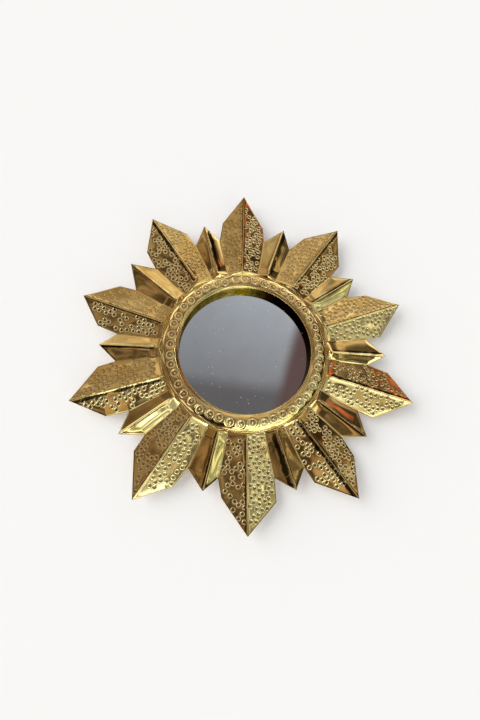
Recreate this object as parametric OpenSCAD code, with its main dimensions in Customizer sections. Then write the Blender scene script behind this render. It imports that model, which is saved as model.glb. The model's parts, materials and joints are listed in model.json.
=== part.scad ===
// Round wall mirror in a brass star of twenty creased rays.
// The star faces -Y and stands upright along Z. The origin is the centre of the back, on the wall.

/* [Star] */
// Distance from the centre to the tips of the large rays
star_r = 175; // [168:1:185]
// Distance from the centre to the tips of the small rays
small_tip_r = 144.5; // [138:0.5:152]
// Distance from the centre to the notches between the rays
notch_r = 127.5; // [122:0.5:132]
// Width of a large ray between its notches
notch_w = 50.4; // [46:0.2:54]
// Width of a large ray between its shoulders
shoulder_w = 48.4; // [44:0.2:50]
// Distance from the centre to the left shoulder, along the ray
left_shoulder = 146; // [143:0.5:150]
// Distance from the centre to the right shoulder, along the ray
right_shoulder = 142; // [139:0.5:146]
// Height of the ridges above the notches
ridge_h = 5; // [3.5:0.1:6.5]
// Length of the slope at the root of a large ray's ridge
large_hip = 7; // [5:0.5:10]
// Length of the slope at the root of a small ray's ridge
small_hip = 3; // [2:0.5:5]
// Thickness of the rays' sheet
sheet_t = 0.6; // [0.5:0.05:0.8]
// Gap between two rays along their seam
seam_gap = 0.1; // [0.06:0.02:0.2]

/* [Hand cutting] */
// How far each large ray's tip falls outside the tip circle
large_trim = [3, 0.5, -0.5, 1, 2.5, 0, 1, -1, -5.5, -1]; // [-6:0.5:6]
// How far each large ray's tip leans clockwise, in degrees
large_lean = [0, 0.5, 0, -0.5, 0, 0, -0.5, -0.5, -0.5, 1.5]; // [-2:0.5:2]
// How far the foot of each large ray's ridge leans clockwise, in degrees
large_foot_lean = [-1.5, 0, 1, 0, 0, 0, 1.5, -2.5, -1, 1.5]; // [-3:0.5:3]
// How far each large ray's left seam leans clockwise, in degrees
left_seam_lean = [-0.5, -1.5, 0, -1, 0, -0.5, 0.5, -0.5, -0.5, 0.5]; // [-2:0.5:2]
// How far each large ray's right seam leans clockwise, in degrees
right_seam_lean = [-1.5, 0, -0.5, -1, -1, 0.5, 0.5, 0, -0.5, 0.5]; // [-2:0.5:2]
// How far each left shoulder stands outside the shoulder width
left_bulge = [-1, -1, -2.5, 2, -1, 3.5, -1, 0.5, 0.5, -3]; // [-4:0.5:4]
// How far each right shoulder stands outside the shoulder width
right_bulge = [-3, 2, 2.5, 0.5, -0.5, -1, 1, 0.5, -1.5, 2.5]; // [-4:0.5:4]
// How far each small ray's tip falls outside the small tip circle
small_trim = [0, -1, 0, 1, -1.5, -2.5, 1.5, -2, 3, 0]; // [-3:0.5:3]
// How far each small ray's tip leans clockwise, in degrees
small_lean = [-0.5, 1, 1.5, 0.5, -0.5, -1.5, 0, 0, 1, 0.5]; // [-2:0.5:2]
// How far the foot of each small ray's ridge leans clockwise, in degrees
small_foot_lean = [-1.5, 0, 1, 0, -1.5, 0, 0, -0.5, -0.5, -1.5]; // [-3:0.5:3]

/* [Collar and reveal] */
// Radius of the round opening in front of the glass
opening_r = 66.4; // [64:0.1:68]
// Width of the collar, from the opening to its outer edge
collar_w = 16.9; // [15.5:0.1:18.5]
// Thickness of the collar's sheet
collar_t = 0.8; // [0.6:0.1:1]
// Radius of the dome across the collar
dome_r = 13; // [12:0.5:20]
// Radius of the raised bead at the collar's outer edge
bead_r = 0.7; // [0.5:0.1:1]
// Thickness of the reveal band
reveal_t = 0.8; // [0.6:0.1:1.2]
// Depth of the glass behind the collar's inner edge
reveal_depth = 9.6; // [8:0.1:11]
// How far the reveal band stands in front of the collar's inner edge
lip_proud = 0.35; // [0.2:0.05:0.6]
// Gap between soldered round faces
solder_gap = 0.05; // [0.04:0.01:0.1]
// Clearance between the reveal band and the rays' roots
root_clear = 0.8; // [0.5:0.1:1]
// Clearance between the collar's edge and the first crease
crease_clear = 0.4; // [0.3:0.1:0.8]

/* [Glass and back] */
// Thickness of the mirror glass
glass_t = 3; // [2:0.5:4]
// How far the glass reaches past the opening
glass_lap = 3.1; // [2.5:0.1:4]
// Thickness of the backing card
card_t = 1.5; // [1:0.1:2.5]
// Thickness of the back pan's sheet
pan_t = 0.8; // [0.6:0.1:1]
// Clearance between the glass and the pan's wall
pan_clear = 0.5; // [0.3:0.1:0.8]
// Outer radius of the bends in the pan
pan_bend = 1.4; // [1.1:0.1:1.8]
// Number of clips around the pan
clip_count = 5; // [3:1:10]
// Width of a clip
clip_w = 8; // [6:0.5:10]
// Thickness of a clip
clip_t = 0.8; // [0.6:0.1:1]
// Length of a clip's foot on the ray
clip_foot = 3.8; // [3:0.1:4.5]
// Length of a clip's finger over the flange
clip_finger = 4; // [3:0.1:4.5]
// Clearance between the flange's edge and the clips
clip_clear = 0.3; // [0.2:0.05:0.5]

/* [Hanger] */
// Width of the strap and of its eye
strap_w = 14; // [12.5:0.5:16]
// Thickness of the strap
strap_t = 1.2; // [1:0.1:1.6]
// Distance from the flange's edge up to the ring's hinge
strap_reach = 22; // [21:0.5:26]
// Radius of the strap's lower corners
strap_corner = 2; // [1:0.5:3]
// Distance from a rivet's head to the strap's lower end
strap_margin = 0.6; // [0.4:0.1:0.8]
// Wall of the rolled eye
eye_wall = 1.2; // [1:0.1:1.5]
// Diameter of the ring's wire
wire_d = 2.4; // [2:0.1:2.8]
// Radial clearance of the wire in the eye
eye_clear = 0.06; // [0.03:0.01:0.09]
// Clearance between the hanging ring and the strap
ring_clear = 0.3; // [0.2:0.05:0.5]
// Free width inside the ring
ring_w = 19; // [18:0.5:22]
// Radius of the bend at the ring's corners
ring_corner = 3; // [2.5:0.1:3.5]
// Length of the ring's straight legs
ring_leg = 2; // [1:0.5:3]
// Diameter of the rivets' shanks
rivet_d = 3; // [2.5:0.1:3.2]
// Diameter of the rivets' heads
rivet_head_d = 5.2; // [4.6:0.1:5.8]
// Height of the rivets' heads
rivet_head_h = 1.1; // [0.8:0.1:1.4]
// Distance between the two rivets
rivet_pitch = 7; // [6.2:0.1:8]
// Clearance of a rivet's shank in its holes
rivet_clear = 0.05; // [0.03:0.01:0.1]

/* [Hidden] */
$fn = 96;
ray_pairs = 10;
pitch = 360 / ray_pairs;
eps = 0.01;

// Each height is measured forward from the wall, and lies at y = -height
card_h = pan_t;
glass_h = card_h + card_t;
face_h = glass_h + glass_t;
lip_h = face_h + reveal_depth;
crest_h = lip_h;

// Angle from a large ray's axis to its seam on one side, which is -1 for left and 1 for right
function large_half(i, side) =
    asin(notch_w / 2 / notch_r) + (side < 0 ? -left_seam_lean[i] : right_seam_lean[i]);

// The same for a small ray, which shares its seams with the large rays beside it
function small_half(i, side) =
    pitch / 2 - (side < 0 ? large_half(i, 1) : large_half((i + 1) % ray_pairs, -1));

// The roots lie flat under the collar, and the creases start just outside it
collar_r = opening_r + collar_w;
widest_ray = max([for (i = [0:ray_pairs - 1]) large_half(i, -1) + large_half(i, 1)]);
crease_r = (collar_r + crease_clear) / cos(widest_ray / 2);
root_depth = ridge_h * crease_r / notch_r;
root_h = crest_h - root_depth;
root_back_h = root_h - sheet_t;
reveal_r = opening_r + reveal_t;
root_in = reveal_r + root_clear;

// The pan's wall stands round the glass, and its flange lies behind the roots
glass_r = opening_r + glass_lap;
pan_in_r = glass_r + pan_clear;
pan_r = pan_in_r + pan_t;
flange_r = collar_r - clip_foot - clip_clear;
flange_h = root_back_h - pan_t;
pan_bend_in = pan_bend - pan_t;
floor_r = pan_r - pan_bend;

// The strap lies on the back of the flange, and the ring hangs behind the strap
strap_back_h = flange_h - strap_t;
hinge_h = strap_back_h - ring_clear - wire_d / 2;
hinge_z = flange_r + strap_reach;
eye_bore_r = wire_d / 2 + eye_clear;
eye_r = eye_bore_r + eye_wall;
rivet_z = (pan_r + pan_bend_in + flange_r) / 2;
rivet_hole_r = rivet_d / 2 + rivet_clear;
strap_foot_z = rivet_z - rivet_head_d / 2 - strap_margin;
bow_r = (ring_w + wire_d) / 2;
leg_top_z = hinge_z - ring_corner;
bow_z = leg_top_z - ring_leg;

// Names of the nodes
function two_digits(n) = n < 10 ? str("0", n) : str(n);
LARGE_RAYS = [for (i = [1:ray_pairs]) str("large_ray_", two_digits(i))];
SMALL_RAYS = [for (i = [1:ray_pairs]) str("small_ray_", two_digits(i))];

// Stands a shape that was drawn on its back upright, with its +Z forward
module upright() {
    rotate([90, 0, 0]) children();
}

// Turns a shape clockwise about the mirror's centre, seen from the front
module clockwise(angle) {
    rotate([0, angle, 0]) children();
}

// A ray's front points up one seam: the root's inner corner, the crease and the notch.
// The seam falls away from the ridges evenly, from the centre to the notches.
function seam_points(half, side) = [
    for (p = [[root_in / cos(half), root_depth], [crease_r, root_depth], [notch_r, ridge_h]])
        [side * (p[0] * sin(half) - seam_gap / 2), p[0] * cos(half), p[1]]
];

// Depth at distance x from the ridge of the facet that reaches the seam
function facet_depth(x, half) = ridge_h * x / (notch_r * sin(half));

// A front point at distance r from the centre, turned clockwise from the ray's axis
function crest_point(r, lean) = [r * sin(lean), r * cos(lean), 0];

// The points of a list from last to first
function reversed(points) = [for (i = [len(points) - 1:-1:0]) points[i]];

// A creased ray along +Z, from front points [x, z, depth below the ridges].
// The points run round the outline from the root's inner left corner. The ridge starts at its foot.
module creased_ray(outline, foot) {
    flat = concat(outline, [foot]);
    n = len(flat);
    last = n - 2;
    front = [for (p = flat) [p[0], p[2] - crest_h, p[1]]];
    back = [for (p = front) p + [0, sheet_t, 0]];
    root = [[0, 1, last - 1], [0, last - 1, last]];
    fan = [for (i = [1:last - 2]) [i, i + 1, n - 1]];
    hip = [[1, n - 1, last - 1]];
    front_faces = concat(root, fan, hip);
    back_faces = [for (f = front_faces) [f[2] + n, f[1] + n, f[0] + n]];
    edge = [for (i = [0:last]) [i, (i + 1) % (last + 1)]];
    edge_faces = [for (e = edge, half = [0, 1])
        half == 0 ? [e[1], e[0], e[0] + n] : [e[1], e[0] + n, e[1] + n]];
    polyhedron(concat(front, back), concat(front_faces, back_faces, edge_faces));
}

// A large ray, with two shoulders before its tip. The top one's root is drilled for the hanger.
module large_ray(i) {
    left = large_half(i, -1);
    right = large_half(i, 1);
    left_x = shoulder_w / 2 + left_bulge[i];
    right_x = shoulder_w / 2 + right_bulge[i];
    outline = concat(
        seam_points(left, -1),
        [[-left_x, left_shoulder, facet_depth(left_x, left)]],
        [crest_point(star_r + large_trim[i], large_lean[i])],
        [[right_x, right_shoulder, facet_depth(right_x, right)]],
        reversed(seam_points(right, 1))
    );
    foot = crest_point(collar_r + crease_clear + large_hip, large_foot_lean[i]);
    color("goldenrod") clockwise(i * pitch) difference() {
        creased_ray(outline, foot);
        if (i == 0) upright() rivet_places() cylinder(r = rivet_hole_r, h = crest_h);
    }
}

// A small ray, which runs straight from its notches to its tip
module small_ray(i) {
    outline = concat(
        seam_points(small_half(i, -1), -1),
        [crest_point(small_tip_r + small_trim[i], small_lean[i])],
        reversed(seam_points(small_half(i, 1), 1))
    );
    foot = crest_point(crease_r + small_hip, small_foot_lean[i]);
    color("gold") clockwise((i + 0.5) * pitch) creased_ray(outline, foot);
}

// Domed ring from the reveal band's front edge down to the roots, with a bead round its foot
module collar() {
    lip = [reveal_r + solder_gap, lip_h];
    foot = [collar_r - bead_r, root_h + bead_r];
    chord = foot - lip;
    half_chord = norm(chord) / 2;
    drop = sqrt(dome_r * dome_r - half_chord * half_chord);
    centre = (lip + foot) / 2 + [chord[1], -chord[0]] * drop / norm(chord);
    color("darkgoldenrod") upright() rotate_extrude() {
        intersection() {
            difference() {
                translate(centre) circle(dome_r);
                translate(centre) circle(dome_r - collar_t);
            }
            translate([lip[0], root_h]) square([foot[0] - lip[0], crest_h + dome_r]);
        }
        translate(foot) circle(bead_r);
    }
}

// Upright brass band between the collar's lip and the glass
module reveal_band() {
    color("olive") upright() rotate_extrude()
        translate([opening_r, face_h]) square([reveal_t, reveal_depth + lip_proud]);
}

// Round glass, silvered on its back, between the reveal band and the card
module mirror_glass() {
    color("lightslategray") upright() translate([0, 0, glass_h]) cylinder(r = glass_r, h = glass_t);
}

// Card on the flat of the pan's floor
module backing_card() {
    color("tan") upright() translate([0, 0, card_h]) cylinder(r = floor_r, h = card_t);
}

// A quarter of a bent sheet's section, with its centre at the origin and its arc towards +X +Y
module bend() {
    intersection() {
        difference() {
            circle(pan_bend);
            circle(pan_bend_in);
        }
        square(pan_bend);
    }
}

// Shallow dish with a flat floor on the wall, a round wall and a flange behind the rays' roots
module back_pan() {
    color("peru") upright() difference() {
        rotate_extrude() {
            square([floor_r, pan_t]);
            translate([floor_r, pan_bend]) mirror([0, 1]) bend();
            translate([pan_in_r, pan_bend]) square([pan_t, root_back_h - 2 * pan_bend]);
            translate([pan_in_r + pan_bend, root_back_h - pan_bend]) mirror([1, 0]) bend();
            translate([pan_in_r + pan_bend, flange_h]) square([flange_r - pan_in_r - pan_bend, pan_t]);
        }
        rivet_places() cylinder(r = rivet_hole_r, h = crest_h);
    }
}

// Repeats a shape at both rivets, drawn on its back
module rivet_places() {
    for (side = [-1, 1])
        translate([side * rivet_pitch / 2, rivet_z, 0]) children();
}

// Z-shaped clips: a foot on the ray's root, and a finger over the pan's flange
module pan_clips() {
    foot_z = flange_r + clip_clear;
    for (i = [0:clip_count - 1])
        color("darkgoldenrod") clockwise((floor(i * ray_pairs / clip_count) + 0.5) * pitch)
            translate([-clip_w / 2, 0, 0]) {
                translate([0, -root_back_h, foot_z]) cube([clip_w, clip_t, clip_foot]);
                translate([0, -flange_h, foot_z - clip_finger])
                    cube([clip_w, clip_t, clip_finger + clip_t]);
            }
}

// Lays a shape that was drawn on Z along the ring's hinge
module along_hinge() {
    translate([0, -hinge_h, hinge_z]) rotate([0, 90, 0]) children();
}

// Flat strap on the back of the flange, with an eye rolled at its upper end for the ring
module hanger_strap() {
    color("darkgoldenrod") difference() {
        union() {
            upright() translate([0, 0, strap_back_h]) linear_extrude(strap_t) {
                translate([-strap_w / 2, strap_foot_z + strap_corner])
                    square([strap_w, hinge_z - strap_foot_z - strap_corner]);
                translate([-strap_w / 2 + strap_corner, strap_foot_z])
                    square([strap_w - 2 * strap_corner, strap_corner + eps]);
                for (side = [-1, 1])
                    translate([side * (strap_w / 2 - strap_corner), strap_foot_z + strap_corner])
                        circle(strap_corner);
            }
            along_hinge() cylinder(r = eye_r, h = strap_w, center = true);
        }
        along_hinge() cylinder(r = eye_bore_r, h = 2 * strap_w, center = true);
        upright() rivet_places() cylinder(r = rivet_hole_r, h = crest_h);
    }
}

// Two rivets through the ray's root, the flange and the strap, with a domed head on each side
module hanger_rivets() {
    color("sienna") upright() rivet_places() {
        translate([0, 0, strap_back_h - rivet_head_h / 2])
            cylinder(d = rivet_d, h = root_h - strap_back_h + rivet_head_h);
        translate([0, 0, root_h]) rivet_head();
        translate([0, 0, strap_back_h]) mirror([0, 0, 1]) rivet_head();
    }
}

// Low dome on a flat base
module rivet_head() {
    half = rivet_head_d / 2;
    dome = (half * half + rivet_head_h * rivet_head_h) / (2 * rivet_head_h);
    intersection() {
        translate([0, 0, rivet_head_h - dome]) sphere(dome);
        cylinder(r = half, h = rivet_head_h);
    }
}

// D-shaped wire ring: a straight bar through the eye, two bends, two legs and a round bow
module hanging_ring() {
    bar_half = bow_r - ring_corner;
    color("gold") along_hinge() cylinder(d = wire_d, h = 2 * bar_half, center = true);
    color("gold") translate([0, -hinge_h, 0]) {
        for (side = [0, 1]) mirror([side, 0, 0]) {
            translate([bar_half, 0, leg_top_z]) upright() rotate_extrude(angle = 90)
                translate([ring_corner, 0]) circle(d = wire_d);
            translate([bow_r, 0, bow_z]) cylinder(d = wire_d, h = ring_leg);
        }
        translate([0, 0, bow_z]) upright() rotate([0, 0, 180]) rotate_extrude(angle = 180)
            translate([bow_r, 0]) circle(d = wire_d);
    }
}

for (i = [0:ray_pairs - 1]) {
    large_ray(i);
    small_ray(i);
}
collar();
reveal_band();
mirror_glass();
backing_card();
back_pan();
pan_clips();
hanger_strap();
hanger_rivets();
hanging_ring();
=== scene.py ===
"""The looks of a snowflake mirror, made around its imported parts.

The large rays get their ring punches, the small rays their folded ridges, the collar its
ring-and-dot punches, and the parts behind get worked edges. All sizes here are in millimetres,
with heights measured forward from the wall, until a mesh is made of them.
"""

import json
import math

import bmesh
import bpy
import numpy as np
from bpy.props import FloatProperty, FloatVectorProperty, IntProperty, PointerProperty
from bpy.types import Operator, Panel, PropertyGroup
from mathutils import Matrix, Vector

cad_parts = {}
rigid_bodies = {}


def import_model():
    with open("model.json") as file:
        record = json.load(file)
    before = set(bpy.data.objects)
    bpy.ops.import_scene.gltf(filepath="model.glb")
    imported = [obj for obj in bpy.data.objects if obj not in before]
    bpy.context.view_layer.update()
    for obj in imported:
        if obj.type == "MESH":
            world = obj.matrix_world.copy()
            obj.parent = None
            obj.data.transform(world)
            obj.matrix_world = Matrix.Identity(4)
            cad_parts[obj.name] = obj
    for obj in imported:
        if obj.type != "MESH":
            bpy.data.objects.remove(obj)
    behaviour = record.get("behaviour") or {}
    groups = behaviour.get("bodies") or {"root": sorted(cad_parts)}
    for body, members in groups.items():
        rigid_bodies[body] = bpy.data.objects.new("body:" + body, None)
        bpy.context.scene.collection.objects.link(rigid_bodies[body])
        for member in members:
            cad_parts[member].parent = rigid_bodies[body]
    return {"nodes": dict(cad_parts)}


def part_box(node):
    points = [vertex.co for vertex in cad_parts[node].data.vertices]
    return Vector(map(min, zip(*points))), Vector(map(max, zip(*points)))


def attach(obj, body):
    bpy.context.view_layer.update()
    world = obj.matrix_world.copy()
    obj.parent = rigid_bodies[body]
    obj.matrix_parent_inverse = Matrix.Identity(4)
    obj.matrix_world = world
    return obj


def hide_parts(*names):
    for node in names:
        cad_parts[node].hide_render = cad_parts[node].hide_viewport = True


for left_over in list(bpy.data.objects):
    bpy.data.objects.remove(left_over)
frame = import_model()

bl_info = {
    "name": "Snowflake mirror",
    "version": (1, 0, 0),
    "blender": (4, 5, 0),
    "location": "3D View > Sidebar > Mirror",
    "description": "Makes the punched rays, the collar, the glass and the hanger of a brass star mirror",
    "category": "Add Mesh",
}

MM = 0.001
RAY_PAIRS = 10
PITCH = 360 / RAY_PAIRS
THIRD = 3  # the hidden side of a sheet has one row for each three in front
FLATTEN = (1.0, 0.0, 1.0)  # leaves out how far a place lies from the wall

# Where the rivets' holes and the foot of a ridge lie, in mm from the mirror's axis
HOLES_END = 80
HOLES_HALF_WIDTH = 5.5
FOOT_RANGE = (84, 110)

# Distances from the mirror's axis, in mm, over which each thing grows outside the collar
BULGE_START = (86, 104)
HOLLOW_START = (84, 96)
FOLD_START = (86, 92)
PUNCH_START = (87, 88)
DARK_REFLECTION_START = (86, 92)
LINE_START = (86, 90)
WAVE_START = (85, 96)

# Distances from a fold or a cut edge, in mm, over which the punch marks begin
RIDGE_MARGIN = (1.3, 1.7)
SEAM_MARGIN = (1.1, 1.5)
CUT_MARGIN = (1.5, 2.0)
RIDGE_FADE = (0.3, 0.9)

RIM_DARKENING = (1.1, 0.2)  # distances from a cut edge, in mm, over which it is darkened
LINE_CORE = 0.1  # half width in mm of the full strength of a painted highlight line
FINER_COLUMNS = 0.09  # how far a small ray's columns are drawn to its ridge and its edges
LARGE_FOLD_SHARE = 0.6  # height of a large ray's fold, as a share of a small one's
SEED_STEP = 0.37  # how far apart two rays' patches are taken from the noise, in metres
MOST_MARKS = 420000.0  # marks on a square metre, before their spacing thins them

# Points along the collar's section and round it, and how the dome ends in its bead
DOME_POINTS = 50
BEAD_POINTS = 13
UNDER_POINTS = 16
COLLAR_ROUND = 1200
BEAD_ANGLES = (118, -90)
DOME_UNDER_BEAD = 0.95

# The same for the reveal band, and the heights in mm over which its lip is painted plain brass, a
# painted highlight along its bend
WALL_ROWS = 20
EDGE_POINTS = 4
REVEAL_ROUND = 360
LIP_HIGHLIGHT = (14.55, 14.95)

# How much of each large ray is punched, and how hard, clockwise from the top.
# Each ray has (cover, force) for its left facet and then its right one, looking outwards.
PUNCHING = (
    ((0.75, 0.60), (1.00, 1.00)),
    ((0.95, 0.60), (0.80, 1.00)),
    ((0.95, 0.70), (0.90, 0.80)),
    ((0.75, 0.70), (0.80, 0.95)),
    ((0.80, 1.00), (0.80, 1.00)),
    ((1.00, 0.90), (0.60, 0.90)),
    ((0.80, 0.90), (0.75, 0.75)),
    ((0.75, 1.00), (0.90, 0.55)),
    ((0.85, 1.00), (0.75, 0.60)),
    ((0.80, 0.90), (0.95, 0.60)),
)

# How far each facet bulges out in its middle, in mm, or sinks where it is less than 0.
# Each pair of rays has its large left, large right, small left and small right facet.
BULGES = (
    (0.10, 0.25, 0.15, 0.45), (0.10, 0.30, 0.20, -0.20), (0.15, 0.25, 0.50, 0.45),
    (0.20, 0.45, 0.35, 0.15), (0.35, 0.30, 0.40, 0.30), (0.45, 0.15, 0.45, 0.10),
    (0.55, 0.20, 0.50, 0.20), (0.30, 0.10, 0.15, 0.10), (0.15, 0.15, 0.10, 0.20),
    (0.25, 0.15, 0.15, 0.45),
)

# Width in mm of the painted dark reflection, a black streak, beside each facet's ridge, for the same
# four facets.
DARK_REFLECTION_WIDTHS = (
    (1.0, 1.6, 0.0, 4.0), (1.0, 2.6, 2.6, 0.0), (1.4, 0.0, 3.4, 1.4), (4.0, 0.0, 1.4, 0.8),
    (1.0, 4.0, 0.0, 6.5), (0.0, 2.0, 0.0, 1.8), (0.0, 0.8, 1.2, 0.0), (4.2, 0.0, 2.2, 0.0),
    (1.6, 0.8, 0.9, 0.7), (3.4, 1.2, 0.0, 6.0),
)

# How bright each ray's painted highlight lines along its folds are: the large ray's ridge, its left and
# right seams, and the small ray's ridge.
FOLD_HIGHLIGHTS = (
    (0.0, 0.0, 0.0, 0.3), (0.2, 0.0, 0.3, 0.3), (0.5, 0.3, 1.0, 1.0), (0.9, 1.0, 0.5, 0.2),
    (0.2, 0.5, 0.0, 0.2), (0.4, 0.3, 0.3, 0.3), (0.9, 1.0, 1.0, 0.8), (0.4, 1.0, 0.2, 0.3),
    (0.2, 0.3, 0.2, 0.3), (0.3, 0.3, 0.3, 0.2),
)


def size(name, default, description, smallest=0.0):
    """A length in millimetres that a user can change."""
    return FloatProperty(name=name, default=default, description=description, min=smallest)


def colour(name, default, description):
    """A colour that a user can change."""
    return FloatVectorProperty(
        name=name, default=default, description=description, subtype="COLOR", size=3, min=0, max=1
    )


class SheetSizes(PropertyGroup):
    """Sizes of the folded and punched brass sheet."""

    sheet: size("Sheet", 0.6, "Thickness of the rays' brass sheet, in mm")
    seam_gap: size("Seam gap", 0.1, "Gap that the solid rays leave at a seam, in mm")
    fine_pitch: size("Fine pitch", 0.30, "Distance between two rows of a punched mesh, in mm", 0.2)
    plain_pitch: size("Plain pitch", 0.55, "Distance between two rows of a plain mesh, in mm", 0.2)
    large_slope: size("Large slope", 0.20, "Fall of a large ray's facet for each mm from its ridge")
    small_slope: size("Small slope", 0.34, "Fall of a small ray's facet for each mm from its ridge")
    ridge_round: size("Ridge round", 0.7, "Half width of the round along a large ray's ridge, in mm")
    seam_round: size("Seam round", 0.7, "Half width of the round along a seam, in mm")
    large_hollow: size("Large hollow", 0.70, "How far a large facet is dished, in mm")
    small_hollow: size("Small hollow", 0.70, "How far a small facet is dished, in mm")
    large_reach: size("Large reach", 2.4, "Distance from the ridge in which a large facet dishes, in mm")
    small_reach: size("Small reach", 1.8, "Distance from the ridge in which a small facet dishes, in mm")
    crease_flat: size("Crease flat", 0.30, "Half width of the flat along a ridge or a seam, in mm")
    fold_rise: size("Fold rise", 0.20, "Height of the narrow fold along a ridge, in mm")
    fold_width: size("Fold width", 1.15, "Half width of that fold, in mm")
    edge_roll: size("Edge roll", 0.30, "How far a cut edge is rolled back, in mm")
    edge_width: size("Edge width", 1.0, "Width of the rolled edge, in mm")
    # The bright line along a fold is a painted highlight
    line_width: size("Line width", 0.32, "Half width of the bright line along a fold, in mm", 0.1)
    root_rise: size("Root rise", 0.45, "Height of the sheet above its flat root at the collar, in mm")
    fillet_rise: size("Fillet rise", 0.90, "How far the sheet climbs to the collar, in mm")
    fillet_reach: size("Fillet reach", 3.6, "Distance from the collar in which it climbs, in mm", 0.5)
    root_slope: FloatProperty(name="Root slope", default=1.5, min=0.1,
                              description="Slope of the dents that bring the ridges down at the collar")
    root_round: size("Root round", 0.25, "Softness of these dents, in mm")
    large_wave: size("Large wave", 0.55, "Height of the waves that hammering left in a large ray, in mm")
    small_wave: size("Small wave", 0.35, "Height of these waves in a small ray, in mm")
    wave_length: size("Wave length", 14.0, "Length of these waves across a ray, in mm", 5.0)


class PunchSizes(PropertyGroup):
    """Sizes of the punch marks."""

    ring_radius: size("Ring radius", 1.95, "Radius of a ray's ring marks, in mm")
    ring_width: size("Ring width", 0.46, "Half width of a ring mark's raised rim, in mm")
    ring_height: size("Ring height", 0.16, "Height of that rim, in mm")
    dish_depth: size("Dish depth", 0.24, "Depth of the dish inside a ring mark, in mm")
    pull_depth: size("Pull depth", 0.08, "How far a mark pulls the sheet round it down, in mm")
    pull_reach: size("Pull reach", 3.4, "How far from a mark the sheet is pulled down, in mm")
    spacing: size("Spacing", 4.35, "Least distance between two ring marks, in mm", 2.0)
    patch_length: size("Patch length", 8.0, "Size of the patches that are punched or bare, in mm", 2.0)
    collar_count: IntProperty(
        name="Collar marks", default=45, min=3, description="Number of marks round the collar"
    )
    collar_circle: size("Collar circle", 75.2, "Radius of the circle of marks on the collar, in mm")
    collar_stray: size("Collar stray", 1.2, "How far a mark may lie from its place, in mm")
    collar_radius: size("Collar ring radius", 3.45, "Radius of a collar mark's ring, in mm")
    collar_width: size("Collar ring width", 0.74, "Half width of a collar mark's raised ring, in mm")
    collar_height: size("Collar ring height", 0.42, "Height of that ring, in mm")
    collar_sink: size("Collar sink", 0.44, "How far a mark sinks the collar round it, in mm")
    dot_radius: size("Dot radius", 1.15, "Radius of the dot in a collar mark, in mm")
    dot_height: size("Dot height", 0.54, "Height of that dot, in mm")


class CollarSizes(PropertyGroup):
    """Sizes of the collar and the reveal band, whose radii come from the solids."""

    dome_radius: size("Dome radius", 13.0, "Radius of the dome's section, in mm")
    bead_radius: size("Bead radius", 0.7, "Radius of the bead at the collar's foot, in mm")
    thickness: size("Thickness", 0.8, "Thickness of the collar's brass, in mm")
    wall: size("Wall", 0.8, "Thickness of the reveal band's brass, in mm")
    solder_gap: size("Solder gap", 0.05, "Gap between the collar and the reveal band, in mm")
    lip_round: size("Lip round", 0.25, "Radius of the reveal band's front edges, in mm")


class Finishes(PropertyGroup):
    """Colours of the finishes."""

    brass: colour("Brass", (0.80, 0.62, 0.30), "Polished brass")
    brass_warm: colour("Warm brass", (0.72, 0.50, 0.21), "Brass where it has gone redder")
    # Pale brass of rims that are partly rubbed bright and partly a painted highlight, and of the painted
    # highlight lines
    rubbed: colour("Rubbed brass", (1.0, 0.89, 0.53), "Brass that is rubbed bright")
    tarnish: colour("Tarnish", (0.16, 0.095, 0.04), "Brown that stays in the punch marks")
    # The reveal band's olive is a painted dark reflection
    olive: colour("Olive", (0.30, 0.225, 0.085), "Tarnished brass of the reveal band")
    dull_brass: colour("Dull brass", (0.52, 0.38, 0.18), "Brass that was never polished, behind")
    silver: colour("Silvering", (0.84, 0.85, 0.86), "Silvered back of the glass")
    card: colour("Card", (0.32, 0.24, 0.15), "Grey-brown board")
    # Near-black of the painted dark reflection beside a ridge
    painted_dark_reflection: colour("Dark reflection", (0.014, 0.011, 0.007), "Black stain beside a ridge")
    dark_olive: colour("Dark olive", (0.13, 0.085, 0.02), "Stains in the reveal band")
    # Near-black that the reveal band darkens to towards its right side
    darker_right: colour("Darker right", (0.0095, 0.0075, 0.0055), "The reveal band's blackened right side")


class Studio(PropertyGroup):
    """The wall, the light and the camera."""

    pale: colour("Pale", (0.9473, 0.9387, 0.9216), "Colour of the wall and the background")
    shade_share: FloatProperty(
        name="Shade share", default=0.85, min=0, max=1, subtype="FACTOR",
        description="How much of the wall's colour comes from the light, and so shows shadows",
    )
    sky: FloatProperty(name="Sky", default=0.42, min=0, description="Strength of the light all round")
    sun: FloatProperty(name="Sun", default=3.39, min=0, description="Strength of the soft light")
    lens: FloatProperty(name="Lens", default=22.10, min=1, subtype="DISTANCE_CAMERA",
                        description="Focal length on a sensor 36 mm high")
    azimuth: FloatProperty(name="Azimuth", default=-6.029,
                           description="Side that the camera looks from, in degrees to the right")
    elevation: FloatProperty(name="Elevation", default=-17.015,
                             description="Height that it looks from, in degrees, below 0 to look up")
    roll: FloatProperty(name="Roll", default=-0.395, description="Tilt of the camera, in degrees")
    stand: FloatVectorProperty(name="Stand", default=(-49.58, -429.31, -139.75), size=3,
                               description="Place of the camera, in mm")
    sun_angle: FloatProperty(name="Sun angle", default=64.0, min=0,
                             description="Angle that the soft light spreads over, in degrees")
    sun_way: FloatVectorProperty(name="Sun way", default=(0.92, 0.46, -0.24), size=3,
                                 description="Direction in which the soft light shines")
    wall_half: size("Wall half width", 1500.0, "Half of the wall's width and height, in mm")
    wall_gap: size("Wall gap", 0.3, "How far the wall lies behind the mirror, in mm")


SETTINGS = {
    "mirror_sheet": SheetSizes,
    "mirror_punch": PunchSizes,
    "mirror_collar": CollarSizes,
    "mirror_finish": Finishes,
    "mirror_studio": Studio,
}


# Nodes

def feed(tree, socket, value):
    """Gives a socket a value, or the link of another node's output."""
    if isinstance(value, bpy.types.NodeSocket):
        tree.links.new(value, socket)
    else:
        socket.default_value = value


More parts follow.
